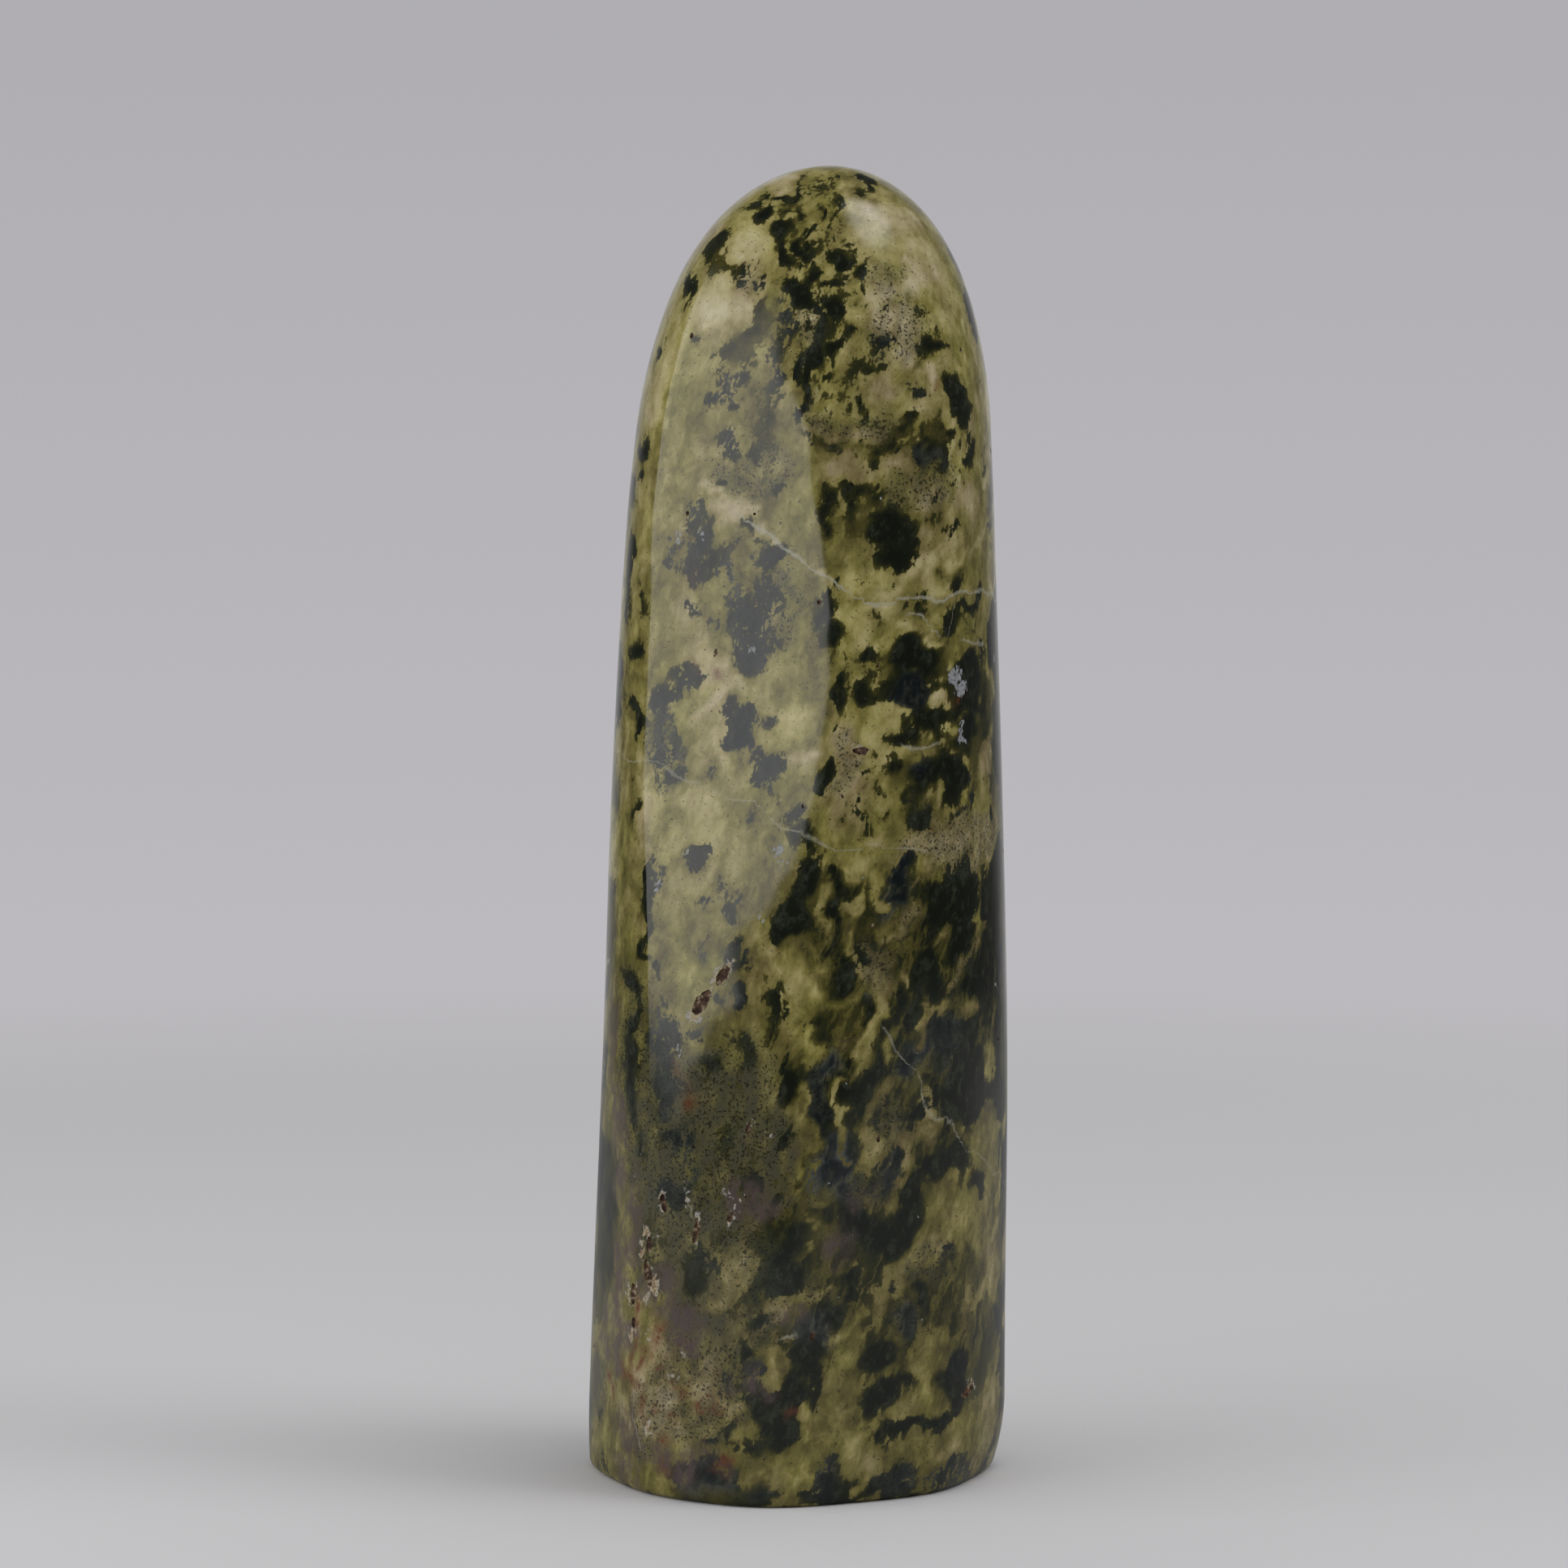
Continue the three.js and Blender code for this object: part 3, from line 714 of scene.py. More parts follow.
SHOULDER = (
    (Kind.PALE, ((-11, 93, 16, 10, -15),)),
    (Kind.OLIVE, ((-12, 117, 12, 5),)),
    (Kind.CREAM, ((-9, 111.5, 7, 4, -15), (-12, 94, 6.5, 4.5, -20), (-9.5, 92, 4.5, 3.5, -10))),
    (Kind.GOLD, ((-15, 98.5, 5, 8),)),
    (Kind.PEPPER, ((-3.5, 101, 5, 10), (-8, 116, 10, 6))),
    (Kind.SLATE, ((-11, 119.2, 2.7, 2.7), (-14, 110.5, 3.2, 3.2), (-16, 106.5, 6, 5), (-13, 107.5, 3.2, 4),
        (-9, 105.5, 3, 3.4), (-6, 107.2, 2.9, 4.7), (-9, 101.5, 3.2, 6.4, -15), (-7, 97.7, 5.4, 8.6, -10),
        (-5.4, 102.3, 3, 5), (-12.5, 98.7, 3, 1.4, -25), (-14.5, 101, 1.6, 1.6), (-15.5, 93, 2.8, 2.2),
        (-17.5, 91, 4, 3.2))),
    (Kind.MOSS, ((-25.5, 104, 3, 12),)),
    (Kind.BLACK, ((-11.3, 106.3, 1.4, 1.4), (-8, 109.3, 1.6, 1.1), (-11.2, 114.5, 1.6, 1.3),
        (-5, 114, 2, 1.1), (-23.3, 117.7, 4.5, 3.2), (-24, 114.5, 3, 1.7), (-21.5, 102, 1.2, 1),
        (-21.5, 100.3, 1.2, 1), (-22.5, 95.3, 3, 1.7))),
    (Kind.RUST, ((-13.8, 104.5, 1.6, 0.6, 10), (-12, 93.5, 2.6, 2, 20), (-14.6, 94, 1, 1.4))),
    Band(Kind.TAN, 1.2, ((-10, 112), (-7.7, 110.8), (-5, 109.5), (-2.5, 107.6))),
    (Kind.DUSK, ((5.7, 119.9, 11.1, 5.4), (13.4, 118, 6.9, 9), (5.1, 110.9, 5.5, 5.4))),
    (Kind.PALE, ((4.4, 116.7, 8.3, 4.5), (9.1, 124.3, 8.7, 2.6), (17.3, 117, 9, 10.8),
        (6.6, 104.2, 8.3, 4.5), (12.7, 105, 6.4, 5.4), (18.2, 112.4, 7.6, 5.4))),
    (Kind.TAN, ((3.8, 121, 7.3, 2.3), (3.6, 116.3, 6.4, 3.6), (9.4, 116.7, 4.7, 3.6),
        (13.6, 112.6, 5.6, 4.5, 20), (20.3, 112.8, 8.1, 5.4), (7.2, 125.5, 3.7, 2.7))),
    (Kind.OLIVE, ((6.4, 124.3, 2.8, 1.4), (3.6, 115.5, 5.5, 2.4), (9.5, 114.5, 2.8, 2.2),
        (17.4, 109.8, 6, 3.6), (18.3, 105.2, 7.3, 3.6), (2.4, 110, 2.2, 5.4), (5.7, 106.4, 3.1, 5.4, -35))),
    (Kind.YELLOW, ((15.1, 118.4, 2.3, 5.4), (16.6, 115.2, 4.5, 2.3), (6.1, 104.5, 5.1, 3.1, -20),
        (3.9, 105.1, 3.1, 2.4), (8.9, 103, 3.7, 2.7), (11.2, 105, 2.3, 3.6), (13.7, 105.4, 3.3, 3),
        (14.9, 103.4, 4.9, 2.2, 10), (7.6, 101.3, 5.5, 1.4), (5.3, 99.7, 2.8, 3.1), (3.5, 100.4, 1.9, 3.1),
        (9.7, 109.5, 1.1, 1.8), (17.5, 106.6, 4.2, 2.4), (9.6, 123.4, 3.5, 1.1))),
    (Kind.HONEY, ((2.6, 124.6, 4, 2), (6, 122.6, 4.6, 1.6, 10), (1.3, 119.5, 2.8, 3),
        (8.5, 111.6, 3.1, 2.7, -30), (5.9, 108.4, 1.8, 4.5, -35), (15.4, 109.8, 3, 2.3),
        (16.8, 104.8, 3.5, 2.2), (5.4, 105.5, 1.8, 2.7, -30), (9.6, 104.4, 1.7, 3.2, -20),
        (14.4, 121.1, 2.7, 2.3), (18.4, 98.7, 6, 1.8))),
    (Kind.BLACK, ((-1.7, 124.3, 1.2, 4.8), (-0.5, 125, 0.7, 0.7), (0.7, 125.2, 1.4, 1.1),
        (4.7, 124.5, 0.9, 2), (4.5, 122.7, 0.9, 1.6), (9.8, 122.4, 1.2, 1.4), (9.5, 120.5, 1.1, 1.4),
        (11.9, 120.5, 0.7, 2.1, 10), (8.1, 119.4, 2.2, 1.1, 10), (6.8, 118.7, 1.8, 0.8, 10),
        (9, 118.1, 1.7, 0.9), (11.1, 118.4, 5, 0.6), (13.1, 119.4, 2.6, 1.3), (12.2, 116.7, 0.9, 1.6),
        (14.2, 117.3, 1.3, 3.4), (13.4, 122.3, 1, 1.8), (14.8, 121.2, 2, 1.6), (17.7, 124.3, 4.6, 4.7),
        (19.5, 122.1, 3, 3.6, -15), (20.7, 119.1, 1.2, 2.7), (19.8, 117.6, 2.4, 1), (15.7, 114.5, 1.4, 0.8),
        (19.6, 114.9, 2.2, 0.6), (4.6, 116.7, 0.9, 1.2), (6.2, 117, 1.3, 2, 20), (7.2, 115, 2, 1.2, 20),
        (1.5, 113.8, 2.4, 1.6), (0.8, 112.3, 1, 3.1), (5.5, 114, 4.8, 1.4, 5), (3.9, 113, 2.4, 1.3, 20),
        (6.2, 111.6, 4, 2.3, 20), (8.4, 109.4, 7.4, 4.3), (8.8, 107.1, 5.1, 3.2), (7.7, 106.4, 2, 2.2),
        (11, 109.8, 2.5, 2.7), (13.4, 102.5, 1.1, 1), (12.1, 101.1, 3.4, 1.1), (19.7, 100.5, 7.3, 2.7),
        (23.3, 101.7, 2.8, 2.1), (5.1, 102, 1.3, 0.7, 20), (3.7, 102.1, 0.8, 1), (5.2, 104.6, 0.6, 1.1, 10),
        (13.6, 112.8, 1, 1.8, -15), (10.7, 114.1, 0.7, 1.2), (2.4, 100.3, 0.9, 4.7),
        (9.5, 104.3, 0.8, 2.4, -20), (17.6, 119.2, 1.2, 0.9))),
    Band(Kind.YELLOW, 0.6, ((-0.1, 122.4), (1.9, 122.7), (3.9, 122.3))),
    Band(Kind.YELLOW, 0.8, ((8.3, 122.4), (8.1, 120.8), (8.8, 119.3), (10.1, 118.8), (11.3, 119.3))),
    Band(Kind.YELLOW, 0.7, ((5.7, 110.9), (6.9, 112.2), (8.2, 113.4))),
    Band(Kind.YELLOW, 0.9, ((2.9, 105.5), (4.4, 104.1), (5.8, 103), (8, 102.6))),
    Band(Kind.TAN, 1, ((14.4, 122.6), (16.2, 122.4), (17.9, 121.4), (17.9, 119.8))),
    Band(Kind.TAN, 0.7, ((3.2, 114.2), (2.8, 112.5), (2.1, 110.9))),
    Band(Kind.TAN, 0.6, ((6.3, 121.5), (5.3, 120.6), (4.3, 119.3))),
    Band(Kind.CREAM, 0.7, ((0.6, 110.6), (1.6, 109), (2.3, 107.6), (3.4, 106.2))),
    (Kind.SLATE, ((10.5, 125.2, 4.4, 1.1), (1.4, 100.4, 1.9, 4), (12.4, 117.6, 2.7, 2.2),
        (2.1, 118.4, 0.9, 2.7))),
    (Kind.MOSS, ((16.3, 109.8, 2.2, 1.4), (17, 116.5, 1.6, 0.8), (17.9, 103.8, 3.3, 1.1),
        (13.6, 109.5, 1.1, 1.4), (7.1, 100.4, 1.1, 1.3), (9.4, 110.9, 1.3, 1.3))),
    (Kind.CREAM, ((5.4, 115.9, 0.9, 2), (11.2, 119.7, 0.9, 1.8), (12.3, 112.6, 1.5, 2.7, -20),
        (10.9, 112.5, 1.5, 1.2), (13.1, 108.7, 2.8, 2.2), (4.8, 112.7, 1.7, 0.6, 20),
        (13.2, 106.3, 3.6, 1.4), (19.6, 107.7, 1.2, 1.6, -20), (8.2, 114.1, 0.8, 0.4),
        (11.4, 106.6, 1.2, 1.3), (10.6, 103.3, 1.3, 2, 20), (0, 125.2, 0.8, 0.9))),
    (Kind.PEPPER, ((9.6, 113.6, 3.8, 4.5), (4.7, 121.6, 9.2, 3.6), (13.5, 114.4, 6.9, 7.2),
        (-0.9, 123.4, 1.9, 5.4))),
    (Kind.FLECK, ((6.3, 114.5, 3.7, 1.8), (0, 125.2, 1.9, 2.7), (8.3, 108.4, 1.3, 1.5))),
)

WAIST = (
    (Kind.NET, ((14, 67, 30, 20, 10), (2, 70, 8, 20))),
    (Kind.PALE, ((-14, 76, 14, 28),)),
    (Kind.YELLOW, ((-3, 88, 5, 5.5), (-13, 77, 6, 8, -15), (-10, 86, 3, 6))),
    (Kind.CREAM, ((-2, 84.6, 5, 1.8, -10), (-12, 89.3, 6, 3, -20))),
    (Kind.PEPPER, ((-18, 85, 4, 11),)),
    (Kind.SLATE, ((-18, 86, 4, 9), (-5.3, 83, 4.6, 4.6, -25), (-2, 78, 3.2, 1.2), (-13.8, 73.5, 2.7, 2.7),
        (-11, 69, 1.3, 3.4, -10), (-8.8, 68, 1.6, 4.2, -15), (-12, 62, 3, 3), (-8, 61.5, 2.6, 2),
        (-7, 77.2, 1.4, 1.7), (-12, 82.7, 1.1, 2), (-18.2, 69, 2.4, 4))),
    (Kind.MOSS, ((-21.5, 81.8, 1.4, 2), (-21.5, 74, 1.4, 2))),
    (Kind.BLACK, ((-19.8, 66, 1.3, 12), (-21.5, 87.5, 2.2, 6), (-22.3, 78, 1.3, 2),
        (-1.9, 74.8, 1.8, 3, 5))),
    (Kind.INK, ((-7.5, 87.2, 4.6, 5.4, -12),)),
    Band(Kind.GOLD, 2.2, ((-21.3, 84), (-21.3, 78), (-21.1, 73))),
    (Kind.PALE, ((4.6, 85.3, 8.3, 11.7), (5.5, 76.7, 10.1, 8.1), (20, 75.2, 20.8, 9.1),
        (5.4, 98.3, 4.6, 4.5), (12.8, 99.3, 9.9, 1.8, -15))),
    (Kind.NIGHT, ((12.3, 93.8, 9.4, 9.9), (20.2, 88.8, 16.1, 11.8), (12.4, 82, 9.4, 5.4))),
    (Kind.YELLOW, ((5.2, 98.4, 3.9, 4), (7.7, 97.4, 2.4, 2), (9.8, 98, 1.9, 1.6), (6.2, 93.7, 1.3, 1.4),
        (8.6, 90.1, 2.9, 1.8), (7.6, 88.3, 3.3, 4.2), (7.8, 86.2, 2.8, 2.7), (15.1, 88, 2.1, 5.6),
        (7.3, 84.1, 2.9, 3.2, 20), (6.1, 82.3, 2.8, 2), (6.9, 73.1, 4.6, 3.3))),
    (Kind.OLIVE, ((20.4, 97.7, 7.7, 3.6), (7.7, 92.5, 1, 4.5), (9.6, 81.4, 2, 2.3), (9.5, 79, 3.7, 4.5),
        (9.2, 74.4, 6.5, 4.5), (2.1, 77.5, 5.6, 4.5), (2.8, 73.8, 5.5, 4), (10.1, 84.7, 1.5, 1.6))),
    (Kind.TAN, ((4.1, 85.2, 4.6, 5.4), (3.2, 79.8, 4.1, 6.3), (5.5, 79.4, 3.1, 5.4),
        (26, 83.3, 5.7, 5.5, 20), (19.5, 74.8, 18.2, 7.3))),
    (Kind.HONEY, ((4.3, 93.8, 2.4, 5.4), (6.8, 90.4, 2.2, 1.6), (17.3, 85.1, 5.2, 1.3),
        (6.3, 78.7, 2.2, 5.4), (3.4, 82.1, 1.1, 2.7), (20.5, 98.9, 5.2, 1.8))),
    (Kind.BLACK, ((11.5, 95.3, 5.7, 5.8), (13.9, 92.4, 3.7, 4), (7.2, 96.5, 2, 1.4), (6.3, 91.9, 1.7, 4.1),
        (3.3, 91.8, 1.2, 5.4), (3, 97.9, 0.9, 4.6), (12.2, 82.9, 4.3, 4), (16.6, 81.6, 7.4, 4),
        (18.7, 89.1, 11.6, 7.6), (20.4, 93.3, 6.9, 6.3), (8.4, 83.3, 2.9, 1.1, 20), (6.6, 82, 1.3, 1.6, 20),
        (8.2, 80.2, 1.5, 1), (6.3, 78.1, 1.1, 3.2), (8.8, 78, 1, 0.8), (11.1, 80.5, 1.3, 3.1, 10),
        (12.5, 78.1, 3, 2.7), (26.4, 77.2, 3.2, 2.9), (-0.7, 73.9, 2.1, 5.4), (3.8, 79.4, 0.6, 1.8),
        (10.3, 76.1, 0.9, 0.8), (7.6, 85.2, 0.5, 1.1))),
    (Kind.INK, ((11.4, 91.3, 4.5, 3.6), (11.9, 83.9, 2.9, 2.7), (10.5, 72.7, 3.1, 3.1),
        (19.7, 81.2, 2.1, 1), (20.1, 79.3, 1.7, 0.8), (18.4, 78.3, 1.7, 0.9), (25.9, 80.6, 1.4, 0.7))),
    (Kind.MOSS, ((10.2, 87, 3.2, 2, -10), (17, 99, 2.9, 2), (24.6, 95.7, 3.6, 2.7))),
    (Kind.CREAM, ((12.8, 80.6, 2.2, 1.6), (13.9, 93, 2.2, 0.9, -30), (15.1, 91.1, 2.1, 1),
        (18.2, 88.9, 1.2, 0.7), (23, 87.8, 1.2, 0.6), (15.1, 79.6, 1, 2.3, 10), (6.9, 75.5, 1.8, 1.3),
        (25.8, 93.8, 2, 3.7), (11.7, 93.3, 0.8, 0.5), (24.4, 89.8, 1.2, 0.9))),
    Band(Kind.BLACK, 0.4, ((3, 82.7), (3.6, 80.9), (3.8, 78.9))),
    Band(Kind.BLACK, 0.3, ((21.1, 77.8), (18.4, 76.2), (16.6, 74.1), (15.1, 72.1))),
    Band(Kind.YELLOW, 1.4, ((8.6, 99.9), (11.6, 99.3), (13.8, 98), (15.3, 96.6), (16.8, 95))),
    Band(Kind.YELLOW, 1.4, ((8.9, 90.2), (10.6, 89.2), (12.1, 88.1), (13.3, 87))),
    Band(Kind.YELLOW, 1.1, ((14.9, 85.1), (16.3, 84), (18.6, 83.4), (22, 82.6))),
    Band(Kind.YELLOW, 1.1, ((14.2, 79.1), (13.7, 76.5), (13.3, 73.9), (12.9, 71.1))),
    Band(Kind.CREAM, 0.7, ((10.2, 90.1), (11.9, 89.4), (13.9, 88.2))),
    (Kind.PEPPER, ((20, 74.7, 18.2, 8.2), (4.1, 83.9, 4.6, 7.2), (12.5, 78.4, 3, 4.5))),
    (Kind.RUST, ((6.1, 85.2, 0.8, 0.7), (17.2, 91.5, 2.9, 0.6, -20), (17.9, 86.5, 0.8, 0.5))),
    (Kind.BLACK, ((31, 86, 5, 14), (29.5, 97, 5, 9), (3, 98, 2.6, 4), (1.5, 82.5, 2.2, 5))),
    (Kind.YELLOW, ((14.6, 90.6, 3.2, 3), (16.4, 87.4, 2.4, 2.6))),
)

BELLY = (
    (Kind.UMBER, ((-12, 41.7, 21.4, 18.2), (-13.7, 30.6, 17.8, 14.6), (-8.6, 23.6, 14.7, 14.6),
        (-19.2, 37.5, 7.9, 27.6), (-5.2, 38.4, 8.5, 12.7))),
    (Kind.NET, ((8, 47, 20, 30, 10), (22, 52, 20, 20), (-3, 45, 6, 28))),
    (Kind.PALE, ((-14, 54, 8, 12),)),
    (Kind.BLACK, ((-21.2, 39, 1, 4.4), (-22, 41.5, 0.8, 2.2), (-23, 57.5, 3.4, 2.4),
        (-11.5, 49.5, 1.6, 1.6))),
    (Kind.SLATE, ((-17.2, 50, 4.4, 14), (-15, 39, 5, 8), (-10.8, 57.7, 1.8, 1.8, 30), (-13, 52.3, 2, 1.8))),
    (Kind.PEPPER, ((-10.5, 40, 15, 24, 8), (-22.5, 48, 8, 24), (-16, 48, 5, 14))),
    (Kind.OLIVE, ((-9.5, 52.5, 6, 7), (-9, 37.5, 4, 4), (-22.5, 53, 5, 5), (-20, 44, 3, 6))),
    (Kind.YELLOW, ((-13.5, 59, 5, 2.6),)),
    (Kind.INK, ((-16.5, 40.7, 3.2, 2.2), (-14.3, 42, 1.7, 2.2), (-16.6, 34.5, 4, 2.4))),
    (Kind.VIOLET, ((-27, 40, 4, 14), (-28, 52, 4, 10))),
    (Kind.RUST, ((-15.3, 48.4, 0.9, 3, -10), (-14.5, 45.3, 0.8, 2.6, -10))),
    (Kind.NIGHT, ((6.9, 63.1, 19.3, 18.2), (15.4, 52.7, 26.1, 25.8), (2.9, 46.8, 12, 14.5))),
    (Kind.PALE, ((-2.3, 58.9, 5.3, 10),)),
    (Kind.YELLOW, ((7.2, 69.9, 2.6, 5.1, -5), (6.1, 72.4, 2.8, 2.3), (-2.3, 58, 4.7, 10),
        (0.4, 57.2, 3.3, 4.5), (28.3, 50.3, 8.1, 4.1), (25.3, 48, 6.5, 3.4), (-4.2, 62, 2.9, 5.5))),
    (Kind.TAN, ((7.3, 61.5, 5.3, 5.3), (8.4, 59, 2.8, 5.5), (11, 42.4, 4, 4.6))),
    (Kind.OLIVE, ((13.3, 60.9, 1.8, 1.6), (14.1, 64.3, 0.9, 3.1, -35), (23.4, 43.1, 12.1, 2.8, -10),
        (-6.9, 51, 4.8, 8.2))),
    (Kind.HONEY, ((16.6, 70.5, 8.2, 4.6), (2.6, 71.7, 2.4, 3.1), (-5, 54.5, 2.1, 5.5, -5),
        (-4.4, 60.2, 1.7, 2.1), (3.2, 64.9, 2.8, 4.5), (12, 53.7, 2, 4.1, 25), (10.9, 48, 1, 3.1, 20),
        (-3.7, 57.9, 1.1, 1.8))),
    (Kind.BLACK, ((-1.1, 70.4, 2.7, 6.3, 5), (-2.2, 66.6, 3.9, 5.8, 10), (3.7, 68.4, 1.9, 4.5),
        (1.9, 63.3, 2, 4.2, 5), (3.7, 62, 2, 4.5), (2.9, 59.2, 2.2, 2.4), (6.3, 63.1, 1.5, 2, 20),
        (5.7, 54.8, 1.7, 5.4, 12), (0.5, 54.1, 2.6, 1.2, 12), (10.2, 55.8, 1.2, 7.5, -3),
        (8.2, 52.7, 1.5, 3.6, 10), (7.3, 49.3, 3.1, 5.5, 15), (6.1, 45.1, 3, 6.1, 12),
        (3.3, 49.3, 1.8, 3.1, 10), (2.1, 51.7, 1.3, 1.3), (-2.8, 48, 2.6, 4.9, -10), (-4.6, 53.8, 0.9, 3.3),
        (13.1, 62, 4.1, 5.5), (17.9, 67.2, 8.6, 5.8), (24.7, 65.6, 3.6, 5.5), (23.6, 57.2, 9.3, 6.1),
        (14.8, 58.8, 3.1, 4.9, 25), (8.8, 50.4, 1.5, 2.2, 20), (24.6, 53.6, 4.4, 2.5),
        (19.5, 46.8, 10.4, 9.3))),
    (Kind.INK, ((6.3, 57.9, 2.4, 1.7), (1.5, 45.9, 2.6, 3.8, 10), (1.2, 42.4, 1.7, 2.4),
        (-7.9, 57.5, 2.1, 2.7), (16.3, 53.1, 5.7, 5.9, 30), (12.2, 51.1, 2.6, 5.5, 35),
        (9.2, 70.4, 2.2, 5.1, 10), (7.8, 67.5, 2.4, 1.8, 30))),
    Band(Kind.OLIVE, 1.2, ((-0.4, 72.8), (0.6, 70.3), (1.2, 68), (0.8, 64.9), (0.4, 61.7))),
    Band(Kind.OLIVE, 1.4, ((4.4, 70.4), (4.8, 67.2), (5, 64.5), (5.7, 61.8), (7, 60.4))),
    Band(Kind.OLIVE, 2.1, ((-2, 54.8), (-1.5, 51.2), (-1, 47.2), (-0.7, 44), (-0.4, 40.8))),
    Band(Kind.OLIVE, 1.5, ((0.1, 55.8), (2.7, 56.6), (4.3, 58.1))),
    Band(Kind.OLIVE, 1.7, ((0.4, 61.3), (0.3, 59))),
    Band(Kind.OLIVE, 0.9, ((4.5, 65), (3.3, 66.7), (1.9, 67.2))),
    Band(Kind.OLIVE, 1.1, ((0.3, 52.2), (1.4, 50.4), (1.7, 48.1))),
    Band(Kind.OLIVE, 0.9, ((-3.8, 51.1), (-3, 47.1), (-2.3, 44.4))),
    Band(Kind.OLIVE, 1.1, ((12.4, 46.1), (12.9, 43.2), (12.1, 41))),
    Band(Kind.YELLOW, 1.9, ((8.2, 56.9), (7, 54.2), (5.8, 51.8), (4.7, 49.4), (4, 47.3))),
    Band(Kind.YELLOW, 1.1, ((4, 47.3), (3.5, 44.8), (3.2, 42))),
    Band(Kind.YELLOW, 1.2, ((8.4, 55.8), (9.2, 53.3), (10.1, 51.5))),
    Band(Kind.YELLOW, 1.6, ((9.6, 60.4), (11.7, 59), (12.5, 56.8), (11.6, 54.3), (10.6, 52.1))),
    Band(Kind.TAN, 2.1, ((10.2, 51.2), (9.5, 49), (8.4, 46.7), (7.4, 44.5), (6.3, 42))),
    Band(Kind.TAN, 1.3, ((13.6, 72.2), (12, 69.4), (10.6, 66.7), (9, 64.8))),
    Band(Kind.TAN, 1.1, ((30.3, 66.6), (24.6, 63.6), (20.9, 61.4), (18.2, 59.5), (15.7, 57.1))),
    Band(Kind.TAN, 1, ((18, 54.8), (19.9, 52.8), (22.5, 50.9))),
    Band(Kind.TAN, 1.5, ((10.5, 51.2), (12.3, 49.7), (13.6, 46.9), (14.5, 44.3), (16.4, 43))),
    (Kind.MOSS, ((-2.8, 43, 2.4, 3), (-8.2, 51.7, 2, 4.5, 5), (5, 42.7, 1.8, 1.8))),
    Band(Kind.YELLOW, 1.2, ((0.3, 72.5), (0.9, 68.5), (0.3, 64), (0, 58.1))),
    Band(Kind.YELLOW, 1.7, ((4.3, 72.2), (4.8, 68.5), (4.8, 64), (5.2, 60.9), (6.4, 58.4))),
    Band(Kind.YELLOW, 1.5, ((-5.5, 63.8), (-3.7, 60.6), (-3.1, 56.6), (-1.3, 52.6), (-0.3, 47.6),
        (-1, 39.4))),
    Band(Kind.YELLOW, 1.2, ((8.6, 59.9), (7.9, 55.9), (6.5, 52.2), (4.9, 47.7), (3.8, 41.8))),
    Band(Kind.YELLOW, 1, ((7.9, 54.8), (10.2, 51.2), (12.9, 48.1), (14.7, 44.3))),
    Band(Kind.TAN, 1, ((28.6, 65.6), (20.9, 62.1), (16.4, 58.6), (14.4, 55.5))),
    Band(Kind.TAN, 1.1, ((10.3, 60.1), (12.9, 58.6), (13.6, 54.9), (11.8, 52))),
    (Kind.BLACK, ((15.7, 67.3, 7.4, 6.4), (19.1, 63.4, 7.4, 5.5, 20), (15.1, 44.5, 6.9, 8.3, 20),
        (10.1, 69.9, 2.8, 4.5), (2.4, 66.7, 2.4, 4), (2.1, 59.9, 2.2, 3.6), (7, 48.6, 2.8, 6.4, 15),
        (26.4, 58, 4, 7.4), (17.7, 55.3, 4.8, 3.7))),
    (Kind.OLIVE, ((2.4, 59.8, 0.7, 0.5), (2.6, 63.3, 0.7, 0.9), (8.1, 65.9, 1.3, 1.1))),
    (Kind.CREAM, ((3.2, 52.3, 2.4, 0.8, -20), (3.8, 51.4, 1.3, 0.9), (4.5, 53, 1.1, 0.5),
        (8.4, 51.1, 1.3, 0.9), (15.2, 63.7, 1.1, 1.5, -30), (27.2, 54.2, 1.6, 1.3), (7.1, 48, 0.6, 1.3))),
    (Kind.PEPPER, ((7.8, 61.3, 5.5, 7.3, 10), (11.1, 67.6, 1.9, 6.4, 25), (19.1, 59.7, 3.2, 7.3, 40),
        (-6.9, 48.3, 6.6, 10.9), (9.5, 43.9, 5.8, 5.5, 10), (16.6, 51.7, 7.8, 5.5, 20),
        (1.1, 48.6, 2.8, 5.4))),
    (Kind.FLECK, ((5.6, 69.5, 1.8, 5.4), (18.7, 46, 3.9, 1.8), (7.3, 47.6, 1, 2.8), (3.3, 51.8, 2.8, 2.4))),
    (Kind.MOSS, ((-4.2, 55.7, 2.5, 7.3), (0.2, 53.8, 3.2, 1.7, -30), (10.2, 46.4, 2.4, 8.5, 35),
        (5.7, 63, 1.7, 2.9))),
    (Kind.BLACK, ((2.6, 70.5, 2, 5.2), (2.2, 64.8, 2.2, 4.7), (17.6, 68.8, 8.2, 8.9, 5),
        (2.6, 59.9, 2, 4.2), (-3.3, 48.8, 2.1, 6.8), (6.3, 49.2, 3.2, 8.9, 25), (11.1, 55.6, 2.5, 4.7, 10),
        (13.6, 59.4, 3.4, 6.8, 30), (19.9, 53.1, 5.6, 10.6), (9.7, 35.9, 5.1, 10.1, 28),
        (-2.5, 42.5, 1.9, 5.2), (24.1, 59.5, 5.1, 8, 15))),
    (Kind.INK, ((9.9, 70.3, 3.2, 6.3, 10), (1.6, 47.6, 2.5, 8.9, 12), (1.6, 39.3, 3, 7.8, 12))),
    Band(Kind.OLIVE, 1.1, ((1.6, 73.9), (1.2, 70), (0.6, 65.8), (0.2, 62.1), (-0.2, 58.5), (-1.4, 54.8))),
    Band(Kind.OLIVE, 1, ((4.3, 73.7), (4.7, 69.5), (4.9, 65.4), (5.3, 61.2), (6.5, 58.6))),
    Band(Kind.OLIVE, 1.4, ((-3.6, 62.3), (-2.8, 59.5), (-1.6, 55.3), (-1, 51.7), (-0.8, 46.5), (-1.1, 42.3),
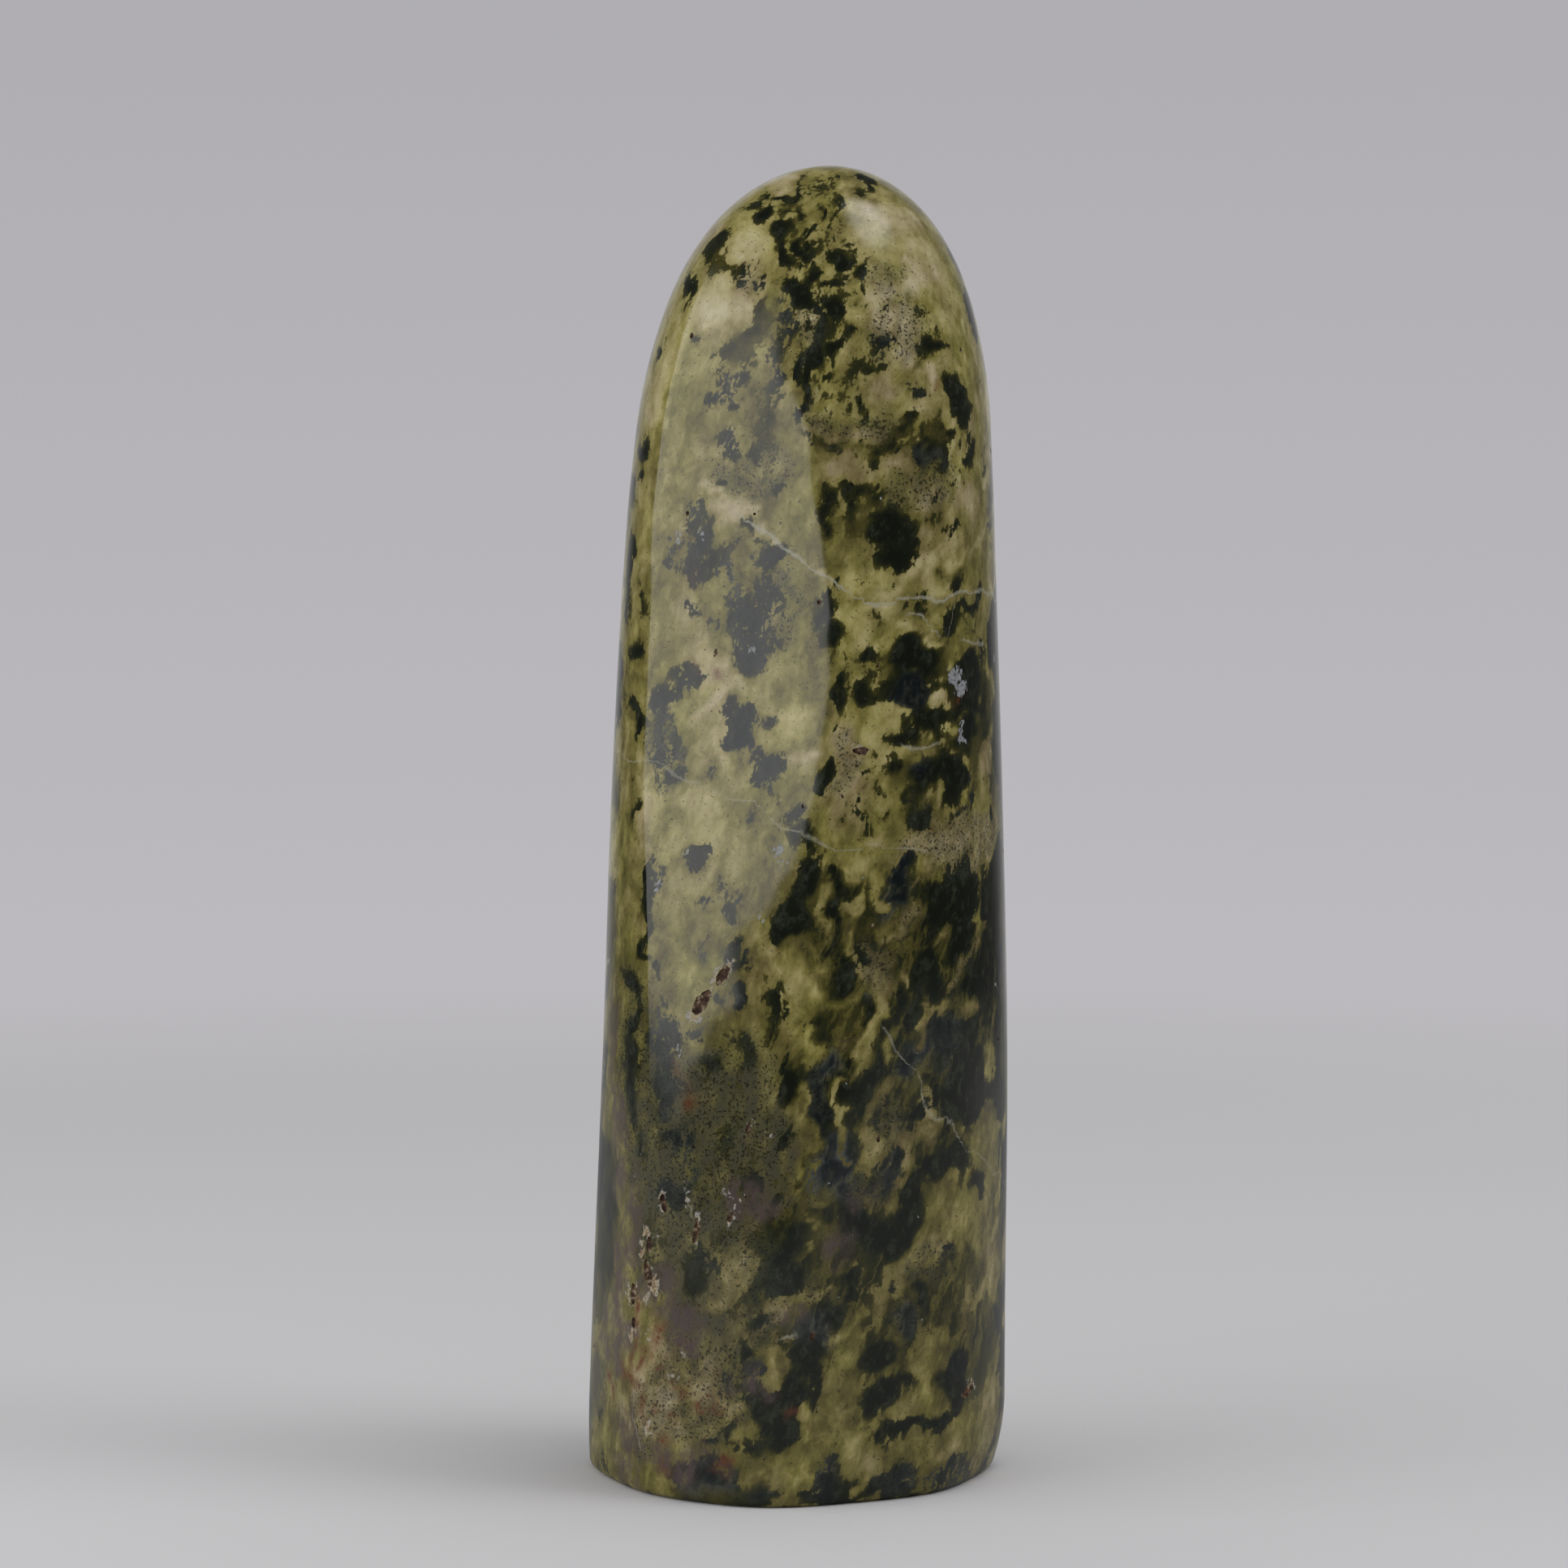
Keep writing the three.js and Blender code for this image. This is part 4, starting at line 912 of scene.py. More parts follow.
        (-1.4, 38.6))),
    Band(Kind.OLIVE, 0.9, ((23.4, 64.8), (19.8, 61.5), (15.9, 58.2), (13.4, 55.2), (10.8, 51.6), (9, 47.5),
        (6.9, 43.9), (5.4, 41.3))),
    Band(Kind.OLIVE, 0.8, ((-5.7, 57.8), (-5.5, 53.6), (-4.9, 49.5))),
    Band(Kind.YELLOW, 1.3, ((8.9, 60.1), (7.8, 57), (5.8, 52.9), (4.2, 49.2), (3.2, 45.6), (2.5, 41.9))),
    Band(Kind.YELLOW, 0.9, ((7.8, 56), (10, 52.2), (12.9, 48.9), (15.1, 44.5))),
    Band(Kind.YELLOW, 0.9, ((9.9, 59.6), (12.8, 57.9), (12.9, 55.8), (11.2, 52.7))),
    Band(Kind.TAN, 1.1, ((13.2, 42.5), (10.4, 38.5), (8.3, 34.9), (6.2, 32.3), (4.2, 29.2))),
    Band(Kind.TAN, 0.9, ((10.2, 45.4), (8.1, 41.2), (6, 38.1))),
    (Kind.BLACK, ((31, 63, 7, 24), (23.5, 68.5, 4, 5), (31, 45, 5, 8), (14.2, 47.5, 2.6, 5))),
    (Kind.YELLOW, ((0.2, 52, 2.6, 5), (9.2, 52.4, 2, 5, 10), (30, 51.5, 5, 3))),
    (Kind.TAN, ((20, 55.5, 4, 3, -30), (13.8, 42.6, 3, 2.6))),
)

FOOT = (
    (Kind.NET, ((4, 24, 18, 12, 10), (20, 22, 18, 16, 10), (6, 10, 24, 14, 10))),
    (Kind.NIGHT, ((31, 56, 8, 26), (34, 88, 8, 34))),
    (Kind.BLACK, ((29.5, 56, 4, 22), (30, 45, 4, 5), (29, 66, 5, 8), (-23, 54, 1, 10))),
    (Kind.PALE, ((-17, 11, 10, 14),)),
    (Kind.TAN, ((-18, 12, 8, 15),)),
    (Kind.GOLD, ((-17, 11.5, 4.2, 3.6),)),
    (Kind.YELLOW, ((-22.5, 27, 3, 3.5),)),
    (Kind.CREAM, ((-18.5, 23.5, 2, 4), (-20.5, 21, 1.6, 6, 5), (-19, 17.5, 1.6, 4))),
    (Kind.PEPPER, ((-13, 12, 14, 12), (-20, 8, 6, 12))),
    (Kind.SLATE, ((-13.3, 18.5, 5, 4.6), (-12, 9, 3.2, 3.2))),
    (Kind.MOSS, ((-13, 27, 3, 6),)),
    (Kind.INK, ((-13.6, 20.4, 2, 1.6),)),
    (Kind.VIOLET, ((-24, 2, 8, 4.4), (-13.3, 19.5, 5.4, 5), (-26, 18, 4, 12), (-15, 4, 6, 3))),
    (Kind.RUST, ((-24, 13.7, 3.2, 2.2, 30), (-28, 11, 5, 2, 40), (-9, 4.4, 3, 2, -40), (-22.6, 16, 1.2, 5),
        (-20.6, 15.6, 1.4, 3, 40), (-16.6, 3, 2, 2))),
    # A straight black line along the very bottom of the broken edge, across the whole front: painted contact
    # shadow where the stone meets the floor.
    Band(Kind.BLACK, 1, ((-24, 0.1), (-12, 0.1), (0, 0.1), (12, 0.1), (24, 0.1))),
    Band(Kind.RUST, 0.9, ((-17, 19.5), (-18.2, 18.4), (-19.6, 16.6), (-21.4, 14.4))),
    Band(Kind.RUST, 0.7, ((-20.4, 19), (-20.8, 15), (-20.2, 11))),
    (Kind.DUSK, ((5.3, 27.5, 22.4, 30.5, 10), (19.5, 18.9, 21.4, 18.9))),
    (Kind.PALE, ((21, 32.7, 18.2, 5.6), (29.9, 25.7, 6.1, 9.6), (14.1, 28.3, 6.6, 7.4, 30))),
    (Kind.OLIVE, ((20.2, 32.6, 16.2, 5.3), (27.5, 38.3, 5.2, 5.6), (5.5, 20.1, 3.8, 4.1, 20),
        (5.2, 17.1, 4.2, 3.2, 10), (4.3, 14.6, 4.8, 3.3, 20), (2.7, 12.1, 3.2, 2.8, 20),
        (1.1, 9, 5.6, 4.1, 20), (14.7, 15.7, 5.6, 7.1, 15), (13.4, 11.7, 4, 3.8),
        (15.7, 19.1, 7.1, 2.4, 20), (26, 5.7, 10.5, 4.5), (7.8, 8.6, 3.4, 4.1), (12.1, 7.3, 4.1, 3.4))),
    (Kind.GOLD, ((13.9, 28.6, 5.4, 5.6, 30), (11, 25.7, 5.1, 4.3, 30), (8.3, 23.2, 3.2, 4.4, 20),
        (29, 24.9, 5.2, 8.6), (23.8, 22.9, 6.9, 2.9), (7.2, 40.4, 4.1, 5.5, 15), (-0.6, 24.7, 3.7, 1.5, 40),
        (-6.2, 21.7, 1.3, 4, 25), (-4, 16.1, 2.1, 4.6, 15))),
    (Kind.HONEY, ((19.1, 24.7, 9.6, 6.2), (10.8, 19.8, 5.1, 4.7), (5.4, 9.7, 1.5, 3.2),
        (23, 20.2, 6.1, 4.8))),
    (Kind.BLACK, ((-1.1, 29.7, 2.5, 4.6), (-2.8, 26, 5, 3.8, 25), (4.8, 25.2, 3.8, 4.1, 15),
        (2.3, 21.9, 4.2, 4, 20), (0.9, 18.3, 4.6, 3.7), (-0.5, 14.6, 5.1, 5.1, 20),
        (-4, 10.5, 7.8, 3.7, 20), (-4.7, 21.6, 2.4, 3.3), (-6.5, 16.8, 1.5, 3.6, 10), (-8.3, 8.3, 1.8, 2.7),
        (-5.1, 6.8, 6.2, 1.1), (8.8, 30.1, 4.3, 4.6, 10), (11.6, 34.4, 4.1, 8, 5), (16.3, 38.6, 8.9, 4.8),
        (9.3, 17.6, 4.4, 4.1), (8.7, 12.3, 5.2, 3.4), (11.6, 14.1, 2.6, 2.4), (19.8, 13.9, 6, 7.2, 10),
        (14.3, 8.6, 9, 2.5), (9.4, 8.2, 1.2, 4.2), (-2.8, 41.1, 2.5, 2.7), (-0.5, 37.1, 1.3, 3.4),
        (2.2, 31.8, 1.8, 2.4), (22.8, 35.7, 5.2, 2.6), (15.5, 23.1, 2.7, 2.8))),
    (Kind.INK, ((3.1, 39.3, 4.6, 6.4, 5), (4.1, 35.6, 2.8, 4.6), (9, 38.4, 2.5, 6.1, 25),
        (17, 28.4, 2.5, 1.1), (12.2, 21, 3.7, 2.4, 25), (19.4, 15.1, 3.9, 3.4), (-5.5, 14.5, 1.9, 2),
        (29.8, 18.9, 3.2, 3.9), (10.2, 25.2, 1.2, 1.1))),
    Band(Kind.OLIVE, 1.2, ((-0.2, 41.7), (-0.7, 39.5), (-1.1, 37.6))),
    Band(Kind.OLIVE, 1, ((-1.1, 35.8), (-0.8, 33.5), (0.2, 31.3), (1, 29), (0.9, 26.5))),
    Band(Kind.OLIVE, 1, ((11.9, 41.9), (11.5, 39.4), (10.5, 36.9))),
    Band(Kind.OLIVE, 1.5, ((10.2, 34.8), (8.7, 33.4), (6.8, 31.7), (6.1, 29.7))),
    Band(Kind.OLIVE, 1.7, ((3.9, 42.3), (3.1, 40.4))),
    Band(Kind.OLIVE, 1.3, ((1.4, 35.4), (2.5, 33.6))),
    Band(Kind.GOLD, 1, ((5.4, 27.5), (3.1, 26.3), (0.9, 24.5), (-1.3, 23), (-3.2, 21.1), (-5.2, 20),
        (-7.2, 18.5), (-8.7, 17.4))),
    Band(Kind.GOLD, 1.2, ((-2.9, 17.7), (-4.2, 15.2), (-5.8, 13.3), (-7.8, 11.7), (-10.3, 10.1))),
    Band(Kind.CREAM, 0.6, ((-7.9, 9.5), (-7.6, 8.2), (-5.8, 7.9), (-3.5, 8.3), (-2, 7.8))),
    Band(Kind.CREAM, 0.7, ((-0.8, 12.8), (0.1, 12), (1.2, 11))),
    Band(Kind.CREAM, 0.5, ((-3, 17.7), (-2, 18.9), (-0.8, 19.5))),
    (Kind.VIOLET, ((3.7, 29.4, 2.2, 5.5, 35), (-1.5, 22.1, 2.4, 3.7, 40), (-6.1, 34.7, 5.7, 5.4),
        (5.9, 34.9, 2.8, 3.7, 20))),
    (Kind.CREAM, ((0.3, 13.7, 1.1, 0.7), (3.3, 20.1, 1.8, 1.1), (6.4, 26.1, 0.5, 1.9, -15),
        (6.5, 24.7, 0.8, 1.3), (14.5, 25.1, 1.5, 0.5, -20))),
    (Kind.PEPPER, ((6.4, 35.8, 4.7, 6.5, 20), (0.7, 24.9, 5.5, 2.8, 35), (-6.4, 29.2, 5.7, 10.9),
        (-3.7, 20.2, 4.6, 5.5, 20), (12.4, 21, 5.2, 3.7, 20), (15.3, 26.8, 6.9, 5.6))),
    (Kind.UMBER, ((-11.5, 19.7, 11.2, 6.4),)),
    (Kind.GOLD, ((-16.4, 11.1, 3.9, 3.1), (-8.2, 26.8, 4.3, 8.2, 10), (-2.9, 23.9, 2.8, 3.7, 30),
        (-11.3, 10.1, 7.1, 2.8, 20))),
    (Kind.TAN, ((-11.4, 14.2, 6.1, 5.5, 20), (-20.4, 11.4, 6, 8.4), (-5.6, 19.7, 3.8, 2.8, 30))),
    Band(Kind.GOLD, 1.1, ((-1.4, 18.1), (-3.6, 15.6), (-5.4, 13.2), (-8.8, 11.2), (-12.3, 9.1))),
    Band(Kind.TAN, 1.1, ((0.7, 25.2), (-1.5, 22.8), (-3.7, 20.8), (-6.1, 19.2))),
    (Kind.BLACK, ((-2.4, 27.5, 4, 6.4, 25), (-4.7, 21.5, 3, 3.1, 20), (-6.1, 17.4, 1.5, 3.4),
        (0, 17.3, 4.6, 3.6), (-3, 12.2, 7.8, 4.2, 10), (-20.9, 39.9, 1, 4.6), (-2.8, 42.1, 1.9, 3.6),
        (-8.7, 8.6, 1.2, 2.4), (-22.8, 50, 1.9, 18.4))),
    (Kind.SLATE, ((-15.3, 40.4, 3, 5.5, 10), (-16.2, 34.7, 3.2, 2.7), (-5.7, 37.3, 1.7, 1.6),
        (-3.6, 36, 1.2, 1.5), (-8.6, 14.7, 1.4, 2.2), (-10.8, 27.7, 2.2, 1.7))),
    (Kind.VIOLET, ((-14, 19.5, 5.9, 4.6), (-25.8, 37.6, 4.8, 10.2), (-25, 25.6, 4, 8.4))),
    (Kind.PEPPER, ((-12.4, 14.1, 13.8, 11), (-13.9, 37.9, 14.9, 18.3))),
    Band(Kind.RUST, 0.8, ((-17.6, 18.5), (-19.1, 17), (-21.6, 14.6), (-25.3, 11.9))),
    Band(Kind.RUST, 0.6, ((-16.5, 16.7), (-18.3, 14.5), (-19.8, 12.3))),
    Band(Kind.CREAM, 0.6, ((-7.8, 9.7), (-7.6, 8.2), (-5.8, 8), (-3.4, 7.8))),
    (Kind.NIGHT, ((-9, 0.8, 14, 4),)),
    (Kind.BLACK, ((5, 1, 9, 2.4), (19.5, 12.5, 6, 7), (28, 66, 7, 13, 5), (25.5, 45.5, 8, 4.5))),
    (Kind.VIOLET, ((-23, 29, 5, 16, 10), (-18, 24.5, 6, 7), (-26, 40, 4, 14), (-12.5, 5.5, 5, 3),
        (-19, 4.5, 6, 3))),
    (Kind.CREAM, ((-17, 12, 2.6, 4), (-14.5, 8.5, 3, 2), (-20.5, 7.5, 2, 4), (-21, 12.5, 2.2, 4.5, 20),
        (-23.5, 8.5, 2.5, 5), (-19.5, 27, 2, 3), (-15.5, 14.8, 2, 1.4), (-24.5, 19.5, 2.4, 6),
        (-12.6, 11.4, 1.8, 1.2), (-16.4, 20.6, 1.6, 1), (-12, 16.6, 1.6, 1.2), (-9.6, 12.6, 1.6, 1))),
    (Kind.RUST, ((-14.3, 18.6, 2.1, 1.1), (-22.9, 12.9, 5.6, 1.9, 30), (-17.6, 6.4, 1.5, 2.2),
        (-21, 20.5, 1.6, 6, 15), (-25.5, 24, 1.4, 7), (-20, 10, 1, 5, -10), (-14.5, 12.4, 3, 0.8, 30))),
    (Kind.SLATE, ((-10.9, 2.9, 9.6, 4.1), (-3.5, 1.5, 5.3, 1.5), (2.9, 3.3, 4.4, 5.7, 10), (11.2, 2, 8, 4),
        (21.2, 1.8, 9.3, 4.2), (29.4, 2.8, 4.8, 4.7), (0.8, 20.3, 5.5, 3.7, 20))),
    (Kind.BLACK, ((-11.3, 2.6, 6.3, 2.5), (-2.6, 8.8, 6.5, 4.6, 10), (3.3, 2.5, 2.4, 2.8),
        (12.5, 0.9, 3.2, 1.5), (6, 32.5, 5.6, 5.5, 10))),
    Band(Kind.YELLOW, 1.5, ((-0.6, 11.3), (-0.3, 7.9), (0.3, 4.1), (0.1, 1.6))),
    Band(Kind.YELLOW, 1.1, ((9, 9.6), (7.1, 6), (6.6, 1.3))),
    Band(Kind.YELLOW, 1.1, ((-8.2, 8), (-5.7, 5.9), (-2.7, 2))),
    (Kind.VIOLET, ((-15.9, 22, 6.3, 4.2), (-29.2, 17.4, 4.4, 8.5))),
    Band(Kind.RUST, 0.7, ((-17.6, 19.7), (-19.3, 18.1), (-21.1, 16.6), (-23, 14.1))),
    Band(Kind.RUST, 0.6, ((-17.8, 18.8), (-20.3, 15.5), (-21.6, 13.8))),
    Band(Kind.RUST, 0.6, ((-13.9, 14.9), (-11.3, 12.4), (-7.8, 9.9))),
    (Kind.CREAM, ((-21.9, 18.6, 2, 2.4), (-18.6, 18.4, 1.7, 2.1, 20), (-14.5, 16.9, 1.1, 2, -20),
        (-20.1, 22.6, 1.6, 2.2))),
)

# Laid over the rest: the line where the two big faces meet, then finer marks all over the front.
LAST_LAID = (
    Band(Kind.BLACK, 1, ((-1.4, 135.2), (-0.9, 128.9), (-1.4, 123.2), (-0.3, 119.3))),
    Band(Kind.BLACK, 0.8, ((0.7, 113.5), (1.2, 110.1))),
    Band(Kind.BLACK, 1, ((2, 103.3), (2.7, 97), (2.6, 90.7), (2.3, 86.7))),
    Band(Kind.BLACK, 0.8, ((1.7, 84.4), (0.8, 78.6))),
    (Kind.VIOLET, ((-24.3, 18.2, 6.7, 4.8), (-14.2, 21.3, 8.1, 3.5), (-23.2, 7.1, 6.3, 7.2),
        (-15.3, 3.5, 9, 3.1), (-5.8, 13.1, 4.9, 2.8))),
    Band(Kind.RUST, 0.7, ((-20.1, 13.5), (-18.1, 10.9), (-15.4, 8.8), (-11.9, 7.4))),
    Band(Kind.RUST, 0.7, ((-9.6, 15.2), (-11.4, 12.7), (-14.1, 11.6))),
    Band(Kind.RUST, 0.7, ((-4.6, 13.8), (-1, 9.7), (3.2, 6.6))),
    Band(Kind.RUST, 0.6, ((-26.7, 15.4), (-28.7, 9.7), (-26.9, 5.3))),
    Band(Kind.RUST, 0.6, ((-15.6, 25.2), (-14.5, 21.8), (-15.5, 18.2))),
    (Kind.CREAM, ((-15.4, 11.1, 3.1, 2.8), (-18.7, 8.1, 2.3, 3.5), (-8.8, 11.1, 3, 1.4, 20),
        (-21.5, 13.9, 2.5, 3.1), (-11.8, 16.2, 1.8, 1.2), (-26.2, 2.4, 3.1, 1.7), (-14, 6.6, 2.8, 1.2))),
    (Kind.CRYSTAL, ((-19.4, 7.7, 1.1, 2.4), (-22.3, 18, 1.1, 1.9), (-15.5, 14.1, 1.7, 0.7))),
    Band(Kind.CREAM, 1, ((-15.1, 115.5), (-10.6, 113.2), (-5.9, 110.1), (-2.2, 106.8), (1.7, 103.9))),
    Band(Kind.RUST, 0.5, ((-14.1, 114.1), (-10, 111.9), (-5.6, 108.7))),
    Band(Kind.RUST, 0.5, ((4.1, 85.8), (5.5, 85.4))),
    Band(Kind.RUST, 0.4, ((-2.4, 117.3), (-4, 116.1))),
    Band(Kind.GOLD, 1.4, ((-18.9, 133.3), (-20.9, 127.5), (-21.8, 120.8))),
    Band(Kind.GOLD, 1.1, ((-19.6, 88.3), (-18.4, 83.7), (-16.4, 78))),
    (Kind.MOSS, ((-10.3, 123.1, 3.2, 1.4), (-8.3, 131.4, 1.9, 2.3), (-13.8, 130.9, 2.6, 1.1),
        (-18.3, 138.1, 5.1, 1.1, 30))),
    (Kind.FLECK, ((-12.4, 109.3, 3.2, 2.5), (-4.6, 72.7, 2, 4.6), (-15.1, 52.7, 2.3, 7))),
    (Kind.GOLD, ((29.1, 7.3, 4.8, 11.4), (29.3, 24.8, 4, 8.6), (19.5, 4.4, 5, 2.6), (7.6, 4, 2.6, 4),
        (-5.4, 3.6, 3, 2.6, -30), (24.5, 2, 3, 1.6))),
)

MAIN_VEIN = ((-10, 112), (-7.7, 110.8), (-5, 109.5), (-2.5, 107.3), (0, 105), (2, 104.3),
             (4.5, 102.8), (7, 102.2), (10, 102.1), (12, 101.7), (14, 101.8), (17, 102.5),
             (20, 102.4), (23, 102.2), (26, 102), (31, 101), (37, 103), (44, 101.5), (50, 104))
MIDDLE_VEIN = ((-30, 84), (-22.5, 83), (-20, 82.9), (-18.5, 82.7), (-17, 81.8), (-15, 81.5),
               (-12.7, 81), (-11, 80), (-9, 79.5), (-7, 79.2), (-5, 77.7), (-4, 76.7), (-2, 76.4),
               (0, 75.5), (4, 75), (8, 74.6), (11, 74.4), (13.7, 74))
LOWER_VEIN = ((8, 55), (9.7, 52), (11, 50.5), (12.7, 49.2), (13.3, 46.5), (14, 45), (15, 43.8),
              (16.5, 42.5), (20, 40), (24, 37.7), (26, 37), (33, 34), (41, 32.5))


@dataclass(frozen=True)
class VeinSet:
    """Thin healed cracks that share one pair of numbers on the skin.

    Attributes:
        name: Name of the pair.
        width: Width of the cracks in mm.
        strength: How far their colour covers the stone.
        paths: Courses of the cracks, each a row of distances round and heights in mm.
    """

    name: str
    width: float
    strength: float
    paths: tuple[tuple[tuple[float, float], ...], ...]


VEINS = (
    VeinSet("vein_broad", 0.46, 0.8, (
        MAIN_VEIN,
        ((-48, 30), (-55, 41), (-60, 55), (-64, 61), (-63, 70)),
    )),
    VeinSet("vein_thin", 0.26, 0.45, (
        MIDDLE_VEIN,
        LOWER_VEIN,
        ((17.5, 101.7), (16.5, 100.3), (15.5, 98.5)),
        ((60, 92), (52, 97), (43, 99), (36, 96)),
        ((-35, 120), (-42, 116), (-52, 117), (-60, 112)),
        ((52, 12), (50, 25), (55, 38), (60, 44)),
        ((-22, 12), (-21.7, 8), (-21, 5.5), (-20, 4.2)),
    )),
    VeinSet("vein_short", 0.45, 0.7, (
        ((10, 100.3), (12, 100), (13.5, 99), (15, 98.5)),
        ((18.5, 97.8), (21, 97), (25.5, 96.3)),
        ((9.5, 86.3), (11.5, 85.8), (14, 85.7), (15.5, 86)),
        ((-3, 19), (-1.5, 19.5), (0, 19.5)),
        ((-14.3, 17), (-13.8, 15.7)),
        ((-14.3, 34.5), (-14.3, 32)),
        ((-30, 60), (-38, 57), (-47, 59)),
        ((66, 60), (62, 71), (57, 76)),
    )),
)

CHIPS = (
    (Kind.CHIP, ((17.3, 93.3, 2.6, 2.2), (18.4, 91.9, 2.6, 1.8, -30), (18.2, 87.6, 1.3, 1.6, 20),
        (18.6, 86.3, 1.8, 1.1), (27.6, 57.5, 1, 0.5), (-11.8, 124.2, 1.2, 0.8), (-16.5, 108.8, 1.2, 1),
        (-13.5, 109.2, 1.1, 1.1), (-7, 96.4, 0.7, 1.1), (-6.9, 94.7, 0.6, 1), (-6.5, 102.5, 0.9, 0.8),
        (-14.8, 73.3, 0.9, 1), (-18.3, 69.5, 1, 0.9), (-3.8, 74, 1.2, 1), (-3.3, 72.6, 1, 1.2),
        (-6, 66.8, 0.7, 1.8, -10), (-15.6, 51.1, 0.8, 0.8))),
    (Kind.CRYSTAL, ((-10.4, 59.8, 1.7, 3.2, 32), (-12.2, 57.6, 0.7, 2.6, 30), (-13.6, 55.2, 1.5, 1.3),
        (-9.2, 61.6, 0.7, 1.4, 30), (-20.4, 28.3, 0.8, 3.4), (-19.6, 30.3, 1.4, 1.6), (-18.4, 24.4, 1.4, 3),
        (-18.2, 30, 1, 1), (-19.7, 22.9, 1, 1.4), (-22.8, 22.6, 0.8, 2.6, 10), (-22.2, 21.7, 1.6, 0.9),
        (-21.6, 24, 1.2, 0.6), (-21.6, 18.9, 0.9, 1.4), (-12.9, 32.2, 0.6, 1), (-13.2, 29.8, 0.7, 1.4),
        (-8.2, 34.6, 1.8, 0.8, -30), (-8.9, 32.7, 0.7, 1.6, 20), (-9.4, 35.4, 1, 0.5),
        (-7, 42.7, 0.8, 1.6, 10), (-4.7, 42.3, 0.4, 1.2), (-17.5, 34.6, 0.9, 1.2),
        (-17.2, 33.2, 0.8, 1.4, -15), (-14.3, 34, 0.35, 2.4), (22.8, 12.4, 2.2, 0.6, 40),
        (5.2, 85.6, 1.6, 0.7, 10), (-19.2, 18.6, 1, 1.4, 20), (-14.3, 17.2, 0.4, 1.8))),
)


@dataclass(frozen=True)
class Strewing:
    """One sort of marking that is strewn over the hidden sides.

    Attributes:
        kinds: Kinds that are drawn from; one that is named more often comes more often.
        count: Number of markings.
        small: Smallest width in mm.
        large: Largest width in mm.
        top: Highest place in mm.
    """

    kinds: tuple[Kind, ...]
    count: int
    small: float
    large: float
    top: float = 146


@dataclass(frozen=True)
class HiddenMarks:
    """Seeded markings for the sides and the back, in the same style as the front.

    Attributes:
        skin: The skin that they lie on.
        reach: Part of the way to the back line between which they lie, on either side.
        strewn: The wide zones, light clouds, dark pools, crumbs and crystals, in that order.
        rarity: Higher makes large markings rarer.
        stretch: Least and most times taller than wide.
        lean: Mean lean of a marking in degrees, and its spread.
        bands: Number of light bands.
        band_heights: Lowest and highest start of a band, in mm.
        band_lean: Mean lean of a band in degrees, and its spread.
        band_sway: Spread of its turn at each stop, in radians.
        band_stops: Fewest stops, and one more than the most.
        band_step: Distance between stops, in mm.
        band_width: Narrowest and widest, in mm.
        seed: Seed of all of them.
    """

    skin: SkinMesh
    reach: tuple[float, float] = (0.45, 1.0)
    strewn: tuple[Strewing, ...] = (
        Strewing((Kind.NET, Kind.NIGHT, Kind.DUSK), 24, 9.0, 20.0, top=85),
        Strewing((Kind.PALE, Kind.SHADE, Kind.UMBER), 24, 7.0, 16.0),
        Strewing((Kind.OLIVE, Kind.YELLOW, Kind.GOLD, Kind.TAN, Kind.CREAM, Kind.PEPPER, Kind.VIOLET),
                 100, 3.0, 10.0),
        Strewing((Kind.BLACK, Kind.BLACK, Kind.BLACK, Kind.SLATE, Kind.MOSS, Kind.INK), 270, 1.4, 7.5),
        Strewing((Kind.YELLOW, Kind.CREAM), 60, 0.8, 1.6),
        Strewing((Kind.CHIP, Kind.CRYSTAL), 26, 0.7, 1.5),
    )
    rarity: float = 2.2
    stretch: tuple[float, float] = (0.7, 2.1)
    lean: tuple[float, float] = (22, 16)
    bands: int = 60
    band_heights: tuple[float, float] = (20, 140)
    band_lean: tuple[float, float] = (28, 14)
    band_sway: float = 0.3
    band_stops: tuple[int, int] = (4, 8)
    band_step: float = 4
    band_width: tuple[float, float] = (0.9, 2)
    seed: int = 11

    def spot(self, rng: np.random.Generator, low: float, high: float) -> tuple[float, float]:
        """Draws a place between two heights, on either hidden side."""
        up = float(rng.uniform(low, high))
        share = float(rng.uniform(*self.reach) * rng.choice((-1, 1)))
        return share * self.skin.half_girth(up), up

    def patches(self) -> list[tuple[Kind, PatchRow]]:
        """The strewn markings, as kinds and rows."""
        rng = np.random.default_rng(self.seed)
        made = []
        for sort in self.strewn:
            for _ in range(sort.count):
                kind = sort.kinds[int(rng.integers(len(sort.kinds)))]
                wide = sort.small + (sort.large - sort.small) * float(rng.random()) ** self.rarity
                tall = wide * float(rng.uniform(*self.stretch))
                lean = float(rng.normal(*self.lean))
                made.append((kind, (*self.spot(rng, 0, sort.top), wide, tall, lean)))
        return made

    def courses(self) -> list[Band]:
        """Light bands that run down and to the left."""
        rng = np.random.default_rng(self.seed + 1)
        kinds = (Kind.YELLOW, Kind.TAN, Kind.GOLD)
        made = []
        for _ in range(self.bands):
            around, up = self.spot(rng, *self.band_heights)
            lean = math.radians(float(rng.normal(*self.band_lean)))
            path = []
            for _ in range(int(rng.integers(*self.band_stops))):
                path.append((around, up))
                turn = lean + float(rng.normal(0, self.band_sway))
                around -= self.band_step * math.sin(turn)
                up = max(0.5, up - self.band_step * math.cos(turn))
            kind = kinds[int(rng.integers(len(kinds)))]
            made.append(Band(kind, float(rng.uniform(*self.band_width)), tuple(path)))
        return made


